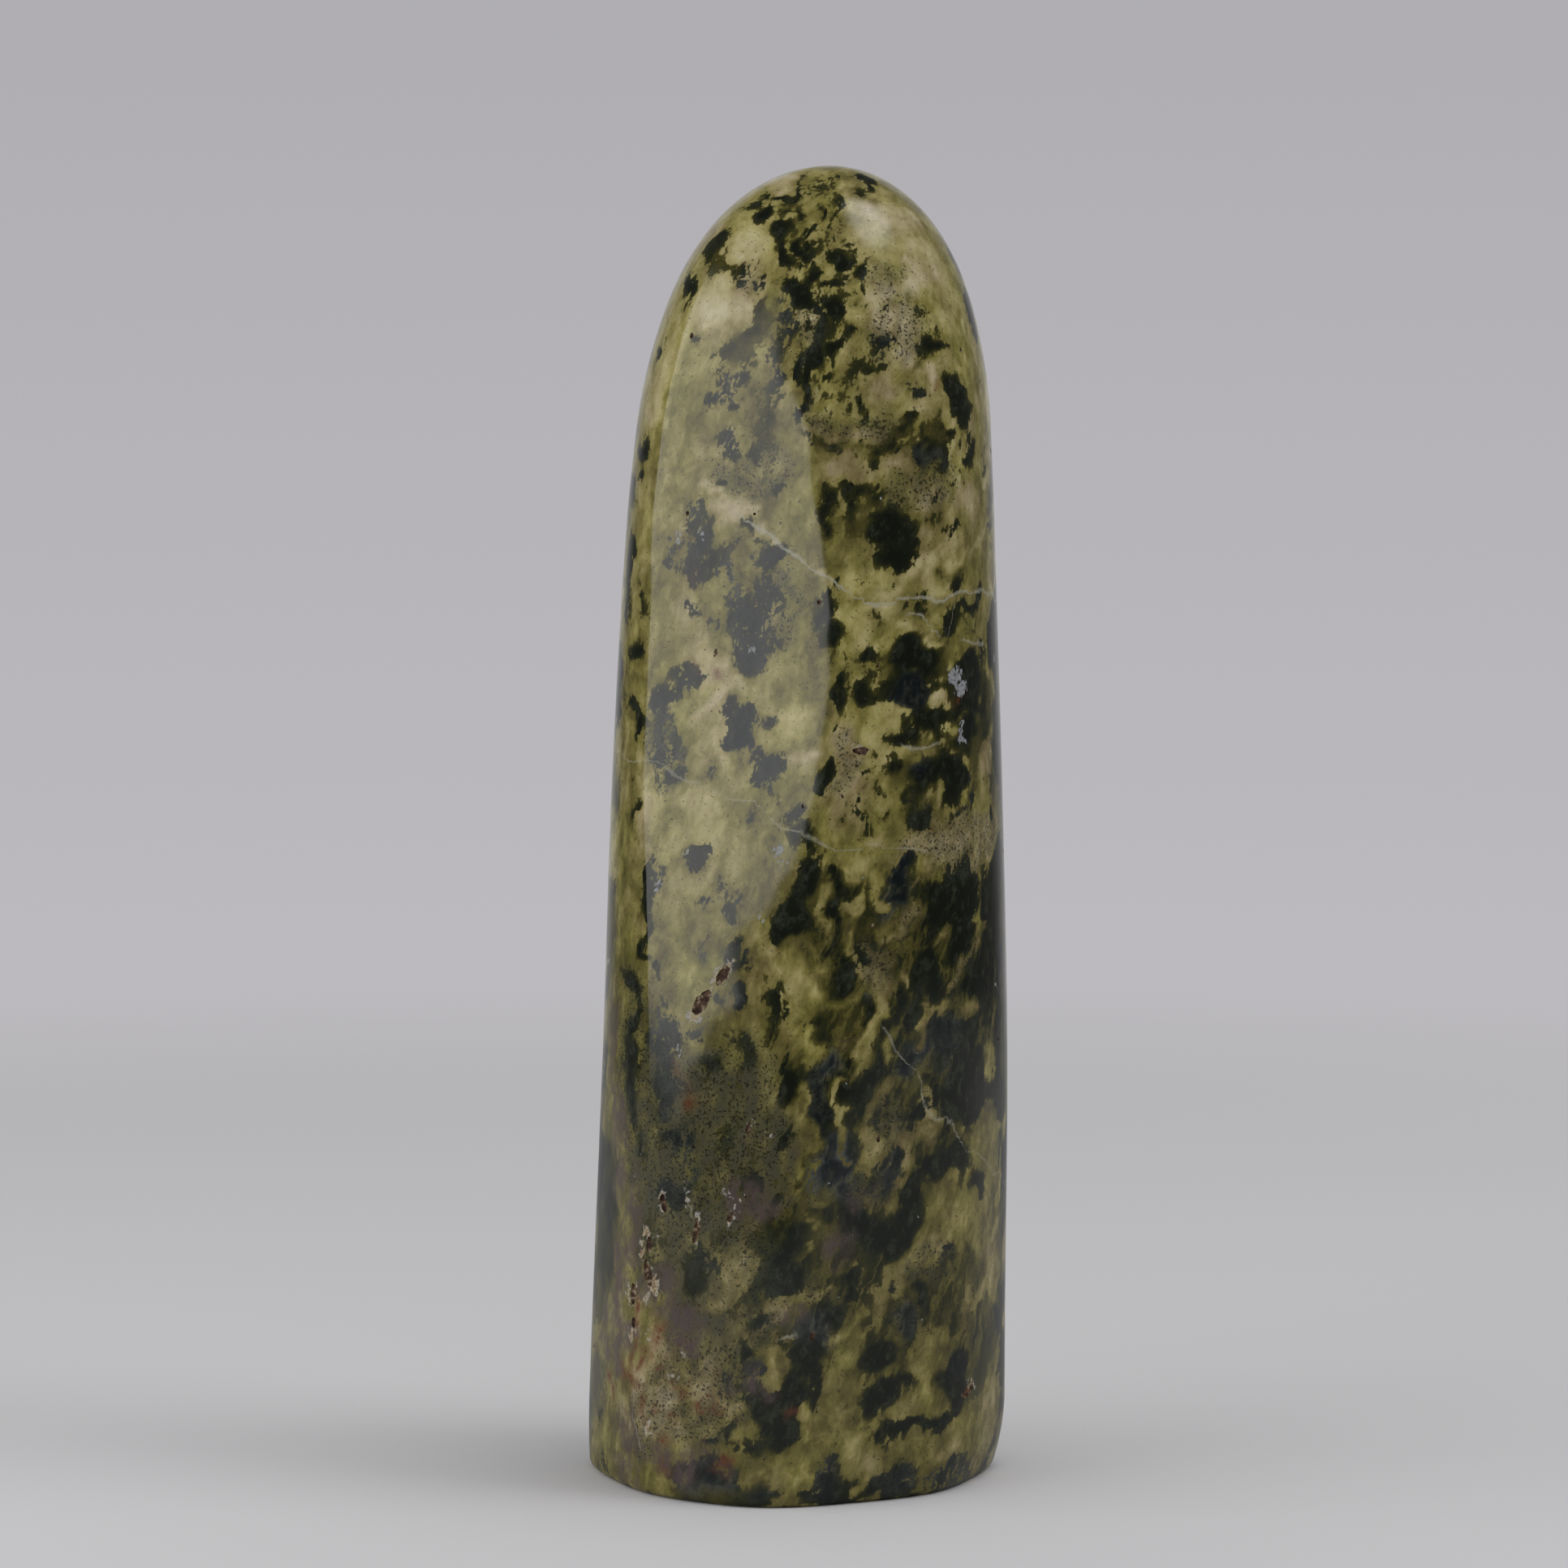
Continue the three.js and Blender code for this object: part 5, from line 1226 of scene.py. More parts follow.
@dataclass(frozen=True)
class Painter:
    """Gives each point of the stone's skin the numbers of its markings.

    Attributes:
        skin: The skin that the markings lie on.
        start: Value of the dark field where nothing is marked.
        edge: Distance over which a tint fades at a marking's edge, in mm.
        cleared: Share of a field that a marking which clears it takes away.
        band_rise: How much faster than a patch a band deepens from its edge.
        limit: Largest value of the dark field either way, in mm.
        line_margin: How far beyond each piece of a line points are looked for, in mm.
        wanders: Ripples that bend the outlines: how far, hump size, both in mm, and seed.
        painted_light_heights: Heights at which the painted light and shade of the light stone is given, in
            mm.
        painted_light_lifts: What is added to the bright field there: painted light at the crown and painted
            shade towards the foot, as if lit from above.
        vein_reach: Distance from a vein within which it is drawn, in mm.
        strand_lean: How far the rock's strands lean to the right, in degrees.
        strand_stretch: How much longer than wide they are.
    """

    skin: SkinMesh
    start: float = -0.75
    edge: float = 1.2
    cleared: float = 0.85
    band_rise: float = 2.4
    limit: float = 2.5
    line_margin: float = 4
    wanders: tuple[tuple[float, float, int], ...] = ((0.35, 7.0, 20), (0.4, 3.0, 30), (0.28, 1.6, 35))
    painted_light_heights: tuple[float, ...] = (0, 35, 60, 80, 110, 130)
    painted_light_lifts: tuple[float, ...] = (-0.2, -0.25, -0.25, 0, 0, 0.32)
    vein_reach: float = 1.6
    strand_lean: float = 16
    strand_stretch: float = 2.4

    def wander(self, points: np.ndarray) -> np.ndarray:
        """Points shifted a little, so that round markings get natural outlines."""
        shift = [
            sum(far * Ripple(size, seed + axis).at(points) for far, size, seed in self.wanders)
            for axis in range(3)
        ]
        return points + np.stack(shift, axis=1)

    def strands(self, points: np.ndarray) -> np.ndarray:
        """Points squeezed along the lean of the rock's strands, so that ripples run along them."""
        lean = math.radians(self.strand_lean)
        along = np.array([math.sin(lean), 0, math.cos(lean)])
        return points - np.outer(points @ along, along) * (1 - 1 / self.strand_stretch)

    def inside_patch(self, points: np.ndarray, tree: KDTree, row: PatchRow) -> tuple[np.ndarray, np.ndarray]:
        """Depth of the nearby points inside an oval marking.

        Args:
            points: Places in mm, one row each.
            tree: The same places, sorted for searching.
            row: Place and size of the marking.

        Returns:
            Numbers of the points, and their depths in mm, below nothing outside.
        """
        around, up, wide, tall, *lean = row
        centre = self.skin.place(around, up)
        right, rise = self.skin.tangents(around, up)
        tilt = math.radians(lean[0] if lean else 0)
        long = rise * math.cos(tilt) + right * math.sin(tilt)
        cross = right * math.cos(tilt) - rise * math.sin(tilt)
        half = np.array([wide / 2, tall / 2 / max(rise[2], 0.6)])
        near = np.array([hit[1] for hit in tree.find_range(centre, half.max() + self.limit)], int)
        away = points[near] - centre
        flat = np.stack([away @ cross, away @ long], axis=1)
        k1 = np.linalg.norm(flat / half, axis=1)
        k2 = np.maximum(np.linalg.norm(flat / half ** 2, axis=1), 1e-6)
        return near, np.where(k1 < 1e-3, half.min(), -k1 * (k1 - 1) / k2)

    def course(self, path: Sequence[tuple[float, float]]) -> np.ndarray:
        """Points of a line over the skin, about 1 mm apart."""
        stops = np.array(path, float)
        run = np.concatenate([[0], np.cumsum(np.linalg.norm(np.diff(stops, axis=0), axis=1))])
        along = np.linspace(0, run[-1], max(3, int(run[-1]) + 1))
        return np.array([
            self.skin.place(float(np.interp(t, run, stops[:, 0])), float(np.interp(t, run, stops[:, 1])))
            for t in along
        ])

    def nearest(self, points: np.ndarray, tree: KDTree,
                line: np.ndarray) -> tuple[np.ndarray, np.ndarray, np.ndarray]:
        """Finds how the nearby points lie to a line on the skin.

        Args:
            points: Places in mm, one row each.
            tree: The same places, sorted for searching.
            line: Points of the line.

        Returns:
            Numbers of the points, their distances with a sign for the side, and the run along
            the line in mm.
        """
        gap = np.full(len(points), np.inf)
        side = np.zeros(len(points))
        along = np.zeros(len(points))
        run = 0.0
        for start, end in zip(line[:-1], line[1:]):
            step = end - start
            length = float(np.linalg.norm(step))
            hits = tree.find_range((start + end) / 2, length + self.line_margin)
            near = np.array([hit[1] for hit in hits], int)
            away = points[near] - start
            t = np.clip(away @ step / length ** 2, 0, 1)
            off = away - t[:, None] * step
            distance = np.linalg.norm(off, axis=1)
            out = np.array([start[0], start[1], 0.0])
            across = np.cross(out / np.linalg.norm(out), step / length)
            closer = distance < gap[near]
            chosen = near[closer]
            gap[chosen] = distance[closer]
            side[chosen] = np.sign(off[closer] @ across) * distance[closer]
            along[chosen] = run + t[closer] * length
            run += length
        found = np.flatnonzero(np.isfinite(gap))
        return found, side[found], along[found]

    def lay(self, fields: dict[Field, np.ndarray], kind: Kind, near: np.ndarray,
            depth: np.ndarray) -> None:
        """Lays one marking on the fields.

        Args:
            fields: Values of all fields so far, changed in place.
            kind: Kind of the marking.
            near: Numbers of the points that it may reach.
            depth: Depth of each of them inside it, in mm.
        """
        effect = kind.value
        dark = fields[Field.DARK]
        if effect.soft:
            share = smooth_step(-effect.soft, effect.soft, depth)
            dark[near] = dark[near] * (1 - share) + effect.cap * share
        elif effect.cap > 0:
            dark[near] = np.maximum(dark[near], np.minimum(depth, effect.cap))
        elif effect.cap < 0:
            dark[near] = np.minimum(dark[near], np.maximum(-depth, effect.cap))
        for tint, strength in effect.tints:
            share = depth if tint is Field.CHIP else smooth_step(-self.edge / 2, self.edge, depth)
            fields[tint][near] = np.maximum(fields[tint][near], strength * share)
        for gone in effect.clears:
            fields[gone][near] *= 1 - self.cleared * smooth_step(-self.edge / 2, self.edge / 2, depth)

    def marks(self) -> list[tuple[Kind, PatchRow | Band]]:
        """All markings in the order in which they are laid."""
        hidden = HiddenMarks(self.skin)
        found: list[tuple[Kind, PatchRow | Band]] = [*hidden.patches()]
        found += [(band.kind, band) for band in hidden.courses()]
        for entry in (*CROWN, *SHOULDER, *WAIST, *BELLY, *FOOT, *LAST_LAID, *CHIPS):
            if isinstance(entry, Band):
                found.append((entry.kind, entry))
            else:
                found += [(entry[0], row) for row in entry[1]]
        return found

    def fields(self, points: np.ndarray) -> dict[Field, np.ndarray]:
        """Works out all fields.

        Args:
            points: Places of the skin in mm, one row each.

        Returns:
            One row of values for each field.
        """
        fields = {tint: np.zeros(len(points)) for tint in Field}
        strands = self.strands(points)
        fields[Field.DARK] = self.start + 0.15 * Ripple(4.6, 41).at(strands)
        fields[Field.CHIP][:] = -self.limit
        moved = self.wander(points)
        still_tree, moved_tree = self.sorted_places(points), self.sorted_places(moved)
        for kind, mark in self.marks():
            if isinstance(mark, Band):
                near, side, _ = self.nearest(moved, moved_tree, self.course(mark.path))
                self.lay(fields, kind, near, self.band_rise * (mark.width / 2 - np.abs(side)))
            elif kind in (Kind.CHIP, Kind.CRYSTAL):
                self.lay(fields, kind, *self.inside_patch(points, still_tree, mark))
            else:
                self.lay(fields, kind, *self.inside_patch(moved, moved_tree, mark))
        fields[Field.DARK] += 0.15 * Ripple(2.6, 42).at(strands) + 0.1 * Ripple(1.5, 43).at(strands)
        up = points[:, 2]
        # Painted shade and light by height: the bright field is cut towards the foot and lifted at the
        # crown, as if lit from above.
        fields[Field.BRIGHT] *= np.interp(up, (0, 60, 95), (0.6, 0.6, 1))
        fields[Field.BRIGHT] += np.interp(up, self.painted_light_heights, self.painted_light_lifts)
        for name in (Field.DARK, Field.CHIP):
            fields[name] = np.clip(fields[name], -self.limit, self.limit)
        return fields

    @staticmethod
    def sorted_places(points: np.ndarray) -> KDTree:
        """Sorts places for searching."""
        tree = KDTree(len(points))
        for i, point in enumerate(points.tolist()):
            tree.insert(point, i)
        tree.balance()
        return tree

    def vein(self, points: np.ndarray, tree: KDTree, vein_set: VeinSet) -> tuple[np.ndarray, np.ndarray]:
        """Signed distance to a set's veins, and how far they are drawn, for each point."""
        gap = np.full(len(points), self.limit)
        drawn = np.zeros(len(points))
        for path in vein_set.paths:
            line = self.course(path)
            near, side, along = self.nearest(points, tree, line)
            length = float(np.linalg.norm(np.diff(line, axis=0), axis=1).sum())
            share = smooth_step(0.05, 1.2, np.minimum(along, length - along))
            share *= 1 - smooth_step(0.7 * self.vein_reach, self.vein_reach, np.abs(side))
            closer = np.abs(side) < np.abs(gap[near])
            gap[near[closer]] = side[closer]
            drawn[near[closer]] = share[closer]
        return gap, drawn

    def paint(self, stone: bpy.types.Object) -> None:
        """Writes the fields and the veins on the stone's mesh as point attributes."""
        mesh = stone.data
        places = np.empty(len(mesh.vertices) * 3)
        mesh.vertices.foreach_get("co", places)
        points = self.skin.from_frame(places.reshape(-1, 3))
        layers = {tint.value: values for tint, values in self.fields(points).items()}
        bent = points + 0.3 * np.stack([Ripple(3.2, 50 + axis).at(points) for axis in range(3)], axis=1)
        tree = self.sorted_places(bent)
        for vein_set in VEINS:
            layers[vein_set.name], layers[vein_set.name + "_drawn"] = self.vein(bent, tree, vein_set)
        for name, values in layers.items():
            layer = mesh.attributes.new(name, "FLOAT", "POINT")
            layer.data.foreach_set("value", values.astype(np.float32))


# ---- Finishes --------------------------------------------------------------------------------


@dataclass(frozen=True)
class PolishedSerpentine:
    """Polished serpentine: a soft, greasy-looking rock of olive antigorite with pools of magnetite.

    Tumble-polished, so its skin is glassy and mirrors the lights, while the colour comes from just
    under it: black-green pools with olive, slightly clear edges, yellow and cream clouds of fine
    grains, dark pepper, healed pale cracks and a few silver-grey crystals.
    """

    ground_levels: tuple[float, ...] = (0.8, 0.4, 0.15, -0.1, -0.5, -1.0)
    green_ground: tuple[str, ...] = ("12170E", "1C2011", "2F3117", "4B4722", "656030", "7C7644")
    slate_ground: tuple[str, ...] = ("12171A", "1F2527", "323735", "484B46", "5F6053", "777663")
    cloud_levels: tuple[float, ...] = (-1.1, -0.3, 0.3, 0.9, 1.6, 2.3)
    green_cloud: tuple[str, ...] = ("454321", "6C6632", "8D8546", "AFA565", "C8BE84", "D8D0A2")
    tan_cloud: tuple[str, ...] = ("4B4330", "746640", "96885F", "B3A37F", "CCBE9C", "DACFB2")
    deep: str = "454A3A"
    pepper: str = "1B1C14"
    haze: str = "40443A"
    rust: str = "6E3D26"
    violet: str = "5C4E4C"
    silver: str = "A4A7AB"
    cream: str = "BBA985"
    vein: str = "B4B29E"
    umber: str = "57533D"
    refraction: float = 1.56
    polish: float = 0.05
    strand_lean: float = 16.0
    strand_stretch: float = 1.6
    net_lean: float = 21.0
    net_stretch: float = 4.5
    net_mm: float = 2.6
    warp_mm: float = 2.2
    ragged_mm: float = 1.25
    fray_mm: float = 0.42
    grain_mm: float = 1.1
    pepper_mm: float = 0.3
    swell_mm: float = 9.0
    earth_mm: float = 4.2
    mottle_mm: float = 2.4
    veil_mm: float = 1.3
    rust_mm: float = 1.1
    violet_mm: float = 1.9
    swing_mm: float = 2.0
    glint_mm: float = 0.42
    drift_mm: float = 1.3
    net_drift_mm: float = 1.5
    swell_depth_mm: float = 0.04
    grit_depth_mm: float = 0.05

    def material(self) -> bpy.types.Material:
        """Builds the finish.

        Returns:
            The material, which reads the markings from the mesh's attributes.
        """
        material = bpy.data.materials.new("polished_serpentine")
        add = empty_nodes(material)
        marks = {tint.value: add("ShaderNodeAttribute", (), "Fac", attribute_name=tint.value)
                 for tint in Field}
        place = add("ShaderNodeTexCoord", (), "Object")
        strand = add("ShaderNodeMapping", {
            "Vector": place, "Rotation": (0, math.radians(self.strand_lean), 0),
            "Scale": (1, 1, self.strand_stretch)}, vector_type="TEXTURE")
        wide = add(NOISE, {"Vector": place, "Scale": grain(self.warp_mm), "Detail": 2.0}, "Color")
        drift = add(VECTOR, (wide, (0.5,) * 3), operation="SUBTRACT")
        bent = add(VECTOR, (drift, (self.drift_mm * MM,) * 3, strand), operation="MULTIPLY_ADD")

        # How dark the clear green ground is, with faint streaks of light stone in the net.
        ragged = add(NOISE, {"Vector": bent, "Scale": grain(self.ragged_mm), "Detail": 6.0,
                             "Roughness": 0.7})
        ragged = add(MATH, (ragged, 0.5), operation="SUBTRACT")
        fray = add(NOISE, {"Vector": bent, "Scale": grain(self.fray_mm), "Detail": 2.0,
                           "W": 2.4}, noise_dimensions="4D")
        fray = add(MATH, (fray, 0.5), operation="SUBTRACT")
        long = add("ShaderNodeMapping", {
            "Vector": place, "Rotation": (0, math.radians(self.net_lean), 0),
            "Scale": (1, 1, self.net_stretch)}, vector_type="TEXTURE")
        long = add(VECTOR, (drift, (self.net_drift_mm * MM,) * 3, long), operation="MULTIPLY_ADD")
        streak = add(NOISE, {"Vector": long, "Scale": grain(self.net_mm), "Detail": 3.0,
                             "Roughness": 0.6, "W": 1.3}, noise_dimensions="4D")
        streak = add(MATH, (streak, 0.5), operation="SUBTRACT")
        streak = add(MATH, (streak,), operation="ABSOLUTE")
        streak = add(RANGE, {"Value": streak, "From Min": 0.07, "From Max": 0.0},
                     interpolation_type="SMOOTHSTEP")
        streak = add(MATH, (streak, marks["net"]), operation="MULTIPLY")
        level = add(MATH, (marks["dark"], 0.8), operation="MULTIPLY")
        for value, share in ((ragged, 1.25), (streak, -0.45)):
            level = add(MATH, (value, share, level), operation="MULTIPLY_ADD")

        # Where the opaque light stone covers it: heaps of rounded grains with frayed rims.
        lobes = add(CELLS, {"Vector": bent, "Scale": grain(self.grain_mm), "Detail": 2.0,
                            "Roughness": 0.55, "Lacunarity": 2.3}, feature="F1", normalize=True)
        lobes = add(MATH, (0.3, lobes), operation="SUBTRACT")
        earth = add(NOISE, {"Vector": bent, "Scale": grain(self.earth_mm), "Detail": 4.0, "Roughness": 0.6,
                            "W": 8.1}, noise_dimensions="4D")
        earth = add(MATH, (earth, 2.0, -0.8), operation="MULTIPLY_ADD")
        earth = add(MATH, (marks["warm"], 0.8, earth), operation="MULTIPLY_ADD", use_clamp=True)
        light = add(MATH, (level, -1.0, -0.1), operation="MULTIPLY_ADD")
        for value, share in ((lobes, 1.4), (fray, 1.3), (earth, 0.4), (marks["dim"], -0.5)):
            light = add(MATH, (value, share, light), operation="MULTIPLY_ADD")
        cover = add(RANGE, {"Value": light, "From Min": -0.06, "From Max": 0.12},
                    interpolation_type="SMOOTHSTEP")
        mottle = add(NOISE, {"Vector": bent, "Scale": grain(self.mottle_mm), "Detail": 4.0, "Roughness": 0.6,
                             "W": 6.6}, noise_dimensions="4D")
        tone = add(MATH, (mottle, 3.8, -2.0), operation="MULTIPLY_ADD")
        # The bright field lightens the light stone; it also carries painted light at the crown and painted
        # shade towards the foot.
        for value, share in ((marks["bright"], 1.1), (light, 0.35), (lobes, 0.9), (marks["dim"], -0.9)):
            tone = add(MATH, (value, share, tone), operation="MULTIPLY_ADD")
        shades = []
        for value, stops, colours in ((level, self.ground_levels, self.green_ground),
                                      (level, self.ground_levels, self.slate_ground),
                                      (tone, self.cloud_levels, self.green_cloud),
                                      (tone, self.cloud_levels, self.tan_cloud)):
            span = stops[-1] - stops[0]
            share = add(MATH, (value, 1 / span, -stops[0] / span), operation="MULTIPLY_ADD")
            shade = add("ShaderNodeValToRGB", (share,))
            elements = shade.node.color_ramp.elements
            elements[0].color = linear(colours[0])
            elements[-1].color = linear(colours[-1])
            for stop, colour in zip(stops[1:-1], colours[1:-1]):
                elements.new((stop - stops[0]) / span).color = linear(colour)
            shades.append(shade)
        ground = add(MIX, {"Factor": marks["blue"], 6: shades[0], 7: shades[1]}, data_type="RGBA")
        clouds = add(MIX, {"Factor": earth, 6: shades[2], 7: shades[3]}, data_type="RGBA")
        dim = add(RANGE, {"Value": mottle, "From Min": 0.4, "From Max": 0.64, "To Min": 1.0,
                          "To Max": 0.35})
        dim = add(MATH, (dim, marks["umber"]), operation="MULTIPLY")
        clouds = add(MIX, {"Factor": dim, 6: clouds, 7: linear(self.umber)}, data_type="RGBA")
        colour = add(MIX, {"Factor": cover, 6: ground, 7: clouds}, data_type="RGBA")

        # Faint grey-green clouds deep in the black pools.
        veil = add(NOISE, {"Vector": bent, "Scale": grain(self.veil_mm), "Detail": 5.0, "Roughness": 0.72})
        shown = add(RANGE, {"Value": veil, "From Min": 0.5, "From Max": 0.68, "To Max": 0.6})
        below = add(RANGE, {"Value": level, "From Min": 0.1, "From Max": 0.6})
        shown = add(MATH, (shown, below), operation="MULTIPLY")
        colour = add(MIX, {"Factor": shown, 6: colour, 7: linear(self.deep)}, data_type="RGBA")

        # Pepper: single dark grains of 0.1 to 0.2 mm, drawn at 0.3 mm so that they show.
        dust = add(NOISE, {"Vector": place, "Scale": grain(self.pepper_mm), "Detail": 1.0})
        bar = add(MATH, (marks["pepper"], -0.11, 0.685), operation="MULTIPLY_ADD")
        over = add(MATH, (dust, bar), operation="SUBTRACT")
        dots = add(RANGE, {"Value": over, "From Min": 0.0, "From Max": 0.05})
        dots = add(MATH, (dots, 0.8), operation="MULTIPLY")
        haze = add(RANGE, {"Value": veil, "From Min": 0.36, "From Max": 0.66})
        haze = add(MATH, (haze, marks["pepper"]), operation="MULTIPLY")
        haze = add(MATH, (haze, 0.6), operation="MULTIPLY")
        for share, shade in ((haze, self.haze), (dots, self.pepper)):
            colour = add(MIX, {"Factor": share, 6: colour, 7: linear(shade)}, data_type="RGBA")

        # Stains.
        for name, shade, size in (("rust", self.rust, self.rust_mm),
                                  ("violet", self.violet, self.violet_mm)):
            patchy = add(NOISE, {"Vector": bent, "Scale": grain(size), "Detail": 5.0, "Roughness": 0.7})
            share = add(RANGE, {"Value": patchy, "From Min": 0.36, "From Max": 0.57, "To Max": 0.85})
            share = add(MATH, (share, marks[name]), operation="MULTIPLY")
            colour = add(MIX, {"Factor": share, 6: colour, 7: linear(shade)}, data_type="RGBA")

        # Healed cracks, which swell and thin along their course, and break up into grains.
        swing = add(NOISE, {"Vector": place, "Scale": grain(self.swing_mm), "Detail": 3.0, "Roughness": 0.6})
        broken = add(RANGE, {"Value": dust, "From Min": 0.3, "From Max": 0.55, "To Min": 0.35})
        for vein_set in VEINS:
            gap = add("ShaderNodeAttribute", (), "Fac", attribute_name=vein_set.name)
            drawn = add("ShaderNodeAttribute", (), "Fac", attribute_name=vein_set.name + "_drawn")
            gap = add(MATH, (ragged, 1.1, gap), operation="MULTIPLY_ADD")
            gap = add(MATH, (gap,), operation="ABSOLUTE")
            reach = add(RANGE, {"Value": swing, "From Min": 0.34, "From Max": 0.68,
                                "To Min": 0.35 * vein_set.width, "To Max": 1.5 * vein_set.width})
            line = add(RANGE, {"Value": gap, "From Min": reach, "From Max": 0.0},
                       interpolation_type="SMOOTHSTEP")
            line = add(MATH, (line, drawn), operation="MULTIPLY")
            line = add(MATH, (line, broken), operation="MULTIPLY")
            line = add(MATH, (line, vein_set.strength), operation="MULTIPLY")
            colour = add(MIX, {"Factor": line, 6: colour, 7: linear(self.vein)}, data_type="RGBA")

        # Crystals: silver grey, or cream round the pits, and flakes, dull where they broke.
        chip = add(MATH, (ragged, 2.6, marks["chip"]), operation="MULTIPLY_ADD")
        chip = add(MATH, (fray, 2.4, chip), operation="MULTIPLY_ADD")
        chip = add(RANGE, {"Value": chip, "From Min": 0.05, "From Max": 0.25})
        chip = add(MATH, (chip, broken), operation="MULTIPLY")
        bar = add(MATH, (marks["fleck"], -0.1, 0.8), operation="MULTIPLY_ADD")
        glint = add(NOISE, {"Vector": bent, "Scale": grain(self.glint_mm), "Detail": 1.0, "W": 5.2},
                    noise_dimensions="4D")
        over = add(MATH, (glint, bar), operation="SUBTRACT")
        flakes = add(RANGE, {"Value": over, "From Min": 0.0, "From Max": 0.03})
        crystal = add(MATH, (chip, flakes), operation="MAXIMUM")
        stained = add(RANGE, {"Value": fray, "From Min": 0.02, "From Max": -0.1})
        stained = add(MATH, (stained, 0.8), operation="MULTIPLY")
        cream = add(MIX, {"Factor": stained, 6: linear(self.cream), 7: linear(self.rust)},
                    data_type="RGBA")
        shade = add(MIX, {"Factor": marks["cream"], 6: linear(self.silver), 7: cream},
                    data_type="RGBA")
        colour = add(MIX, {"Factor": crystal, 6: colour, 7: shade}, data_type="RGBA")

        swell = add(NOISE, {"Vector": place, "Scale": grain(self.swell_mm), "Detail": 1.0})
        bump = add("ShaderNodeBump", {"Height": swell, "Distance": self.swell_depth_mm * MM}, "Normal")
        grit = add(MATH, (crystal, glint), operation="MULTIPLY")
        bump = add("ShaderNodeBump", {"Height": grit, "Distance": self.grit_depth_mm * MM, "Strength": 0.6,
                                      "Normal": bump}, "Normal")
        gloss = add(MATH, (veil, 0.05, self.polish - 0.02), operation="MULTIPLY_ADD")
        gloss = add(MATH, (crystal, 0.35, gloss), operation="MULTIPLY_ADD")
        shader = add("ShaderNodeBsdfPrincipled", {
            "Base Color": colour, "Roughness": gloss, "IOR": self.refraction, "Normal": bump})
        add("ShaderNodeOutputMaterial", {"Surface": shader})
        return material


@dataclass(frozen=True)
class BrokenRock:
    """Raw serpentine in a pit: unpolished, red-brown and matt, with a few cream crystals."""

    floor: str = "3B231C"
    crust: str = "6B5038"
    crystal: str = "B8AA90"
    roughness: float = 0.7
    crumb_mm: float = 0.9

    def material(self) -> bpy.types.Material:
        """Builds the finish."""
        material = bpy.data.materials.new("broken_rock")
        add = empty_nodes(material)
        place = add("ShaderNodeTexCoord", (), "Object")
        crumbs = add(NOISE, {"Vector": place, "Scale": grain(self.crumb_mm), "Detail": 5.0,
                             "Roughness": 0.65})
        colour = add("ShaderNodeValToRGB", (crumbs,))
        ramp = colour.node.color_ramp
        ramp.elements[0].position = 0.42
        ramp.elements[0].color = linear(self.floor)
        ramp.elements[1].position = 0.64
        ramp.elements[1].color = linear(self.crystal)
        ramp.elements.new(0.54).color = linear(self.crust)
        bump = add("ShaderNodeBump", {"Height": crumbs, "Distance": 0.12 * MM, "Strength": 0.8}, "Normal")
        shader = add("ShaderNodeBsdfPrincipled", {
            "Base Color": colour, "Roughness": self.roughness, "Normal": bump})
        add("ShaderNodeOutputMaterial", {"Surface": shader})
        return material


# ---- The stone -------------------------------------------------------------------------------


@dataclass(frozen=True)
class SerpentineTower:
    """The whole stone: its skin, its pits and its markings."""

    skin: SkinMesh = field(default_factory=SkinMesh)

    def build(self) -> bpy.types.Object:
        """Builds and dresses the stone, and puts it in the place of its CAD solid."""
        stone = self.skin.build()
        stone.data.materials.append(PolishedSerpentine().material())
        log.info("skin built")
        PitField(self.skin).cut(stone, BrokenRock().material())
        log.info("pits cut")
        self.sharpen_rims(stone.data)
        Painter(self.skin).paint(stone)
        log.info("markings painted")
        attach(stone, "root")
        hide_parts(NODE)
        return stone

    @staticmethod
    def sharpen_rims(mesh: bpy.types.Mesh) -> None:
        """Marks the edges between polished skin and broken rock as sharp."""
        finishes: dict[tuple[int, int], set[int]] = {}
        for face in mesh.polygons:
            for key in face.edge_keys:
                finishes.setdefault(key, set()).add(face.material_index)
        for edge in mesh.edges:
            edge.use_edge_sharp = len(finishes[tuple(sorted(edge.vertices))]) > 1


# ---- Studio ----------------------------------------------------------------------------------


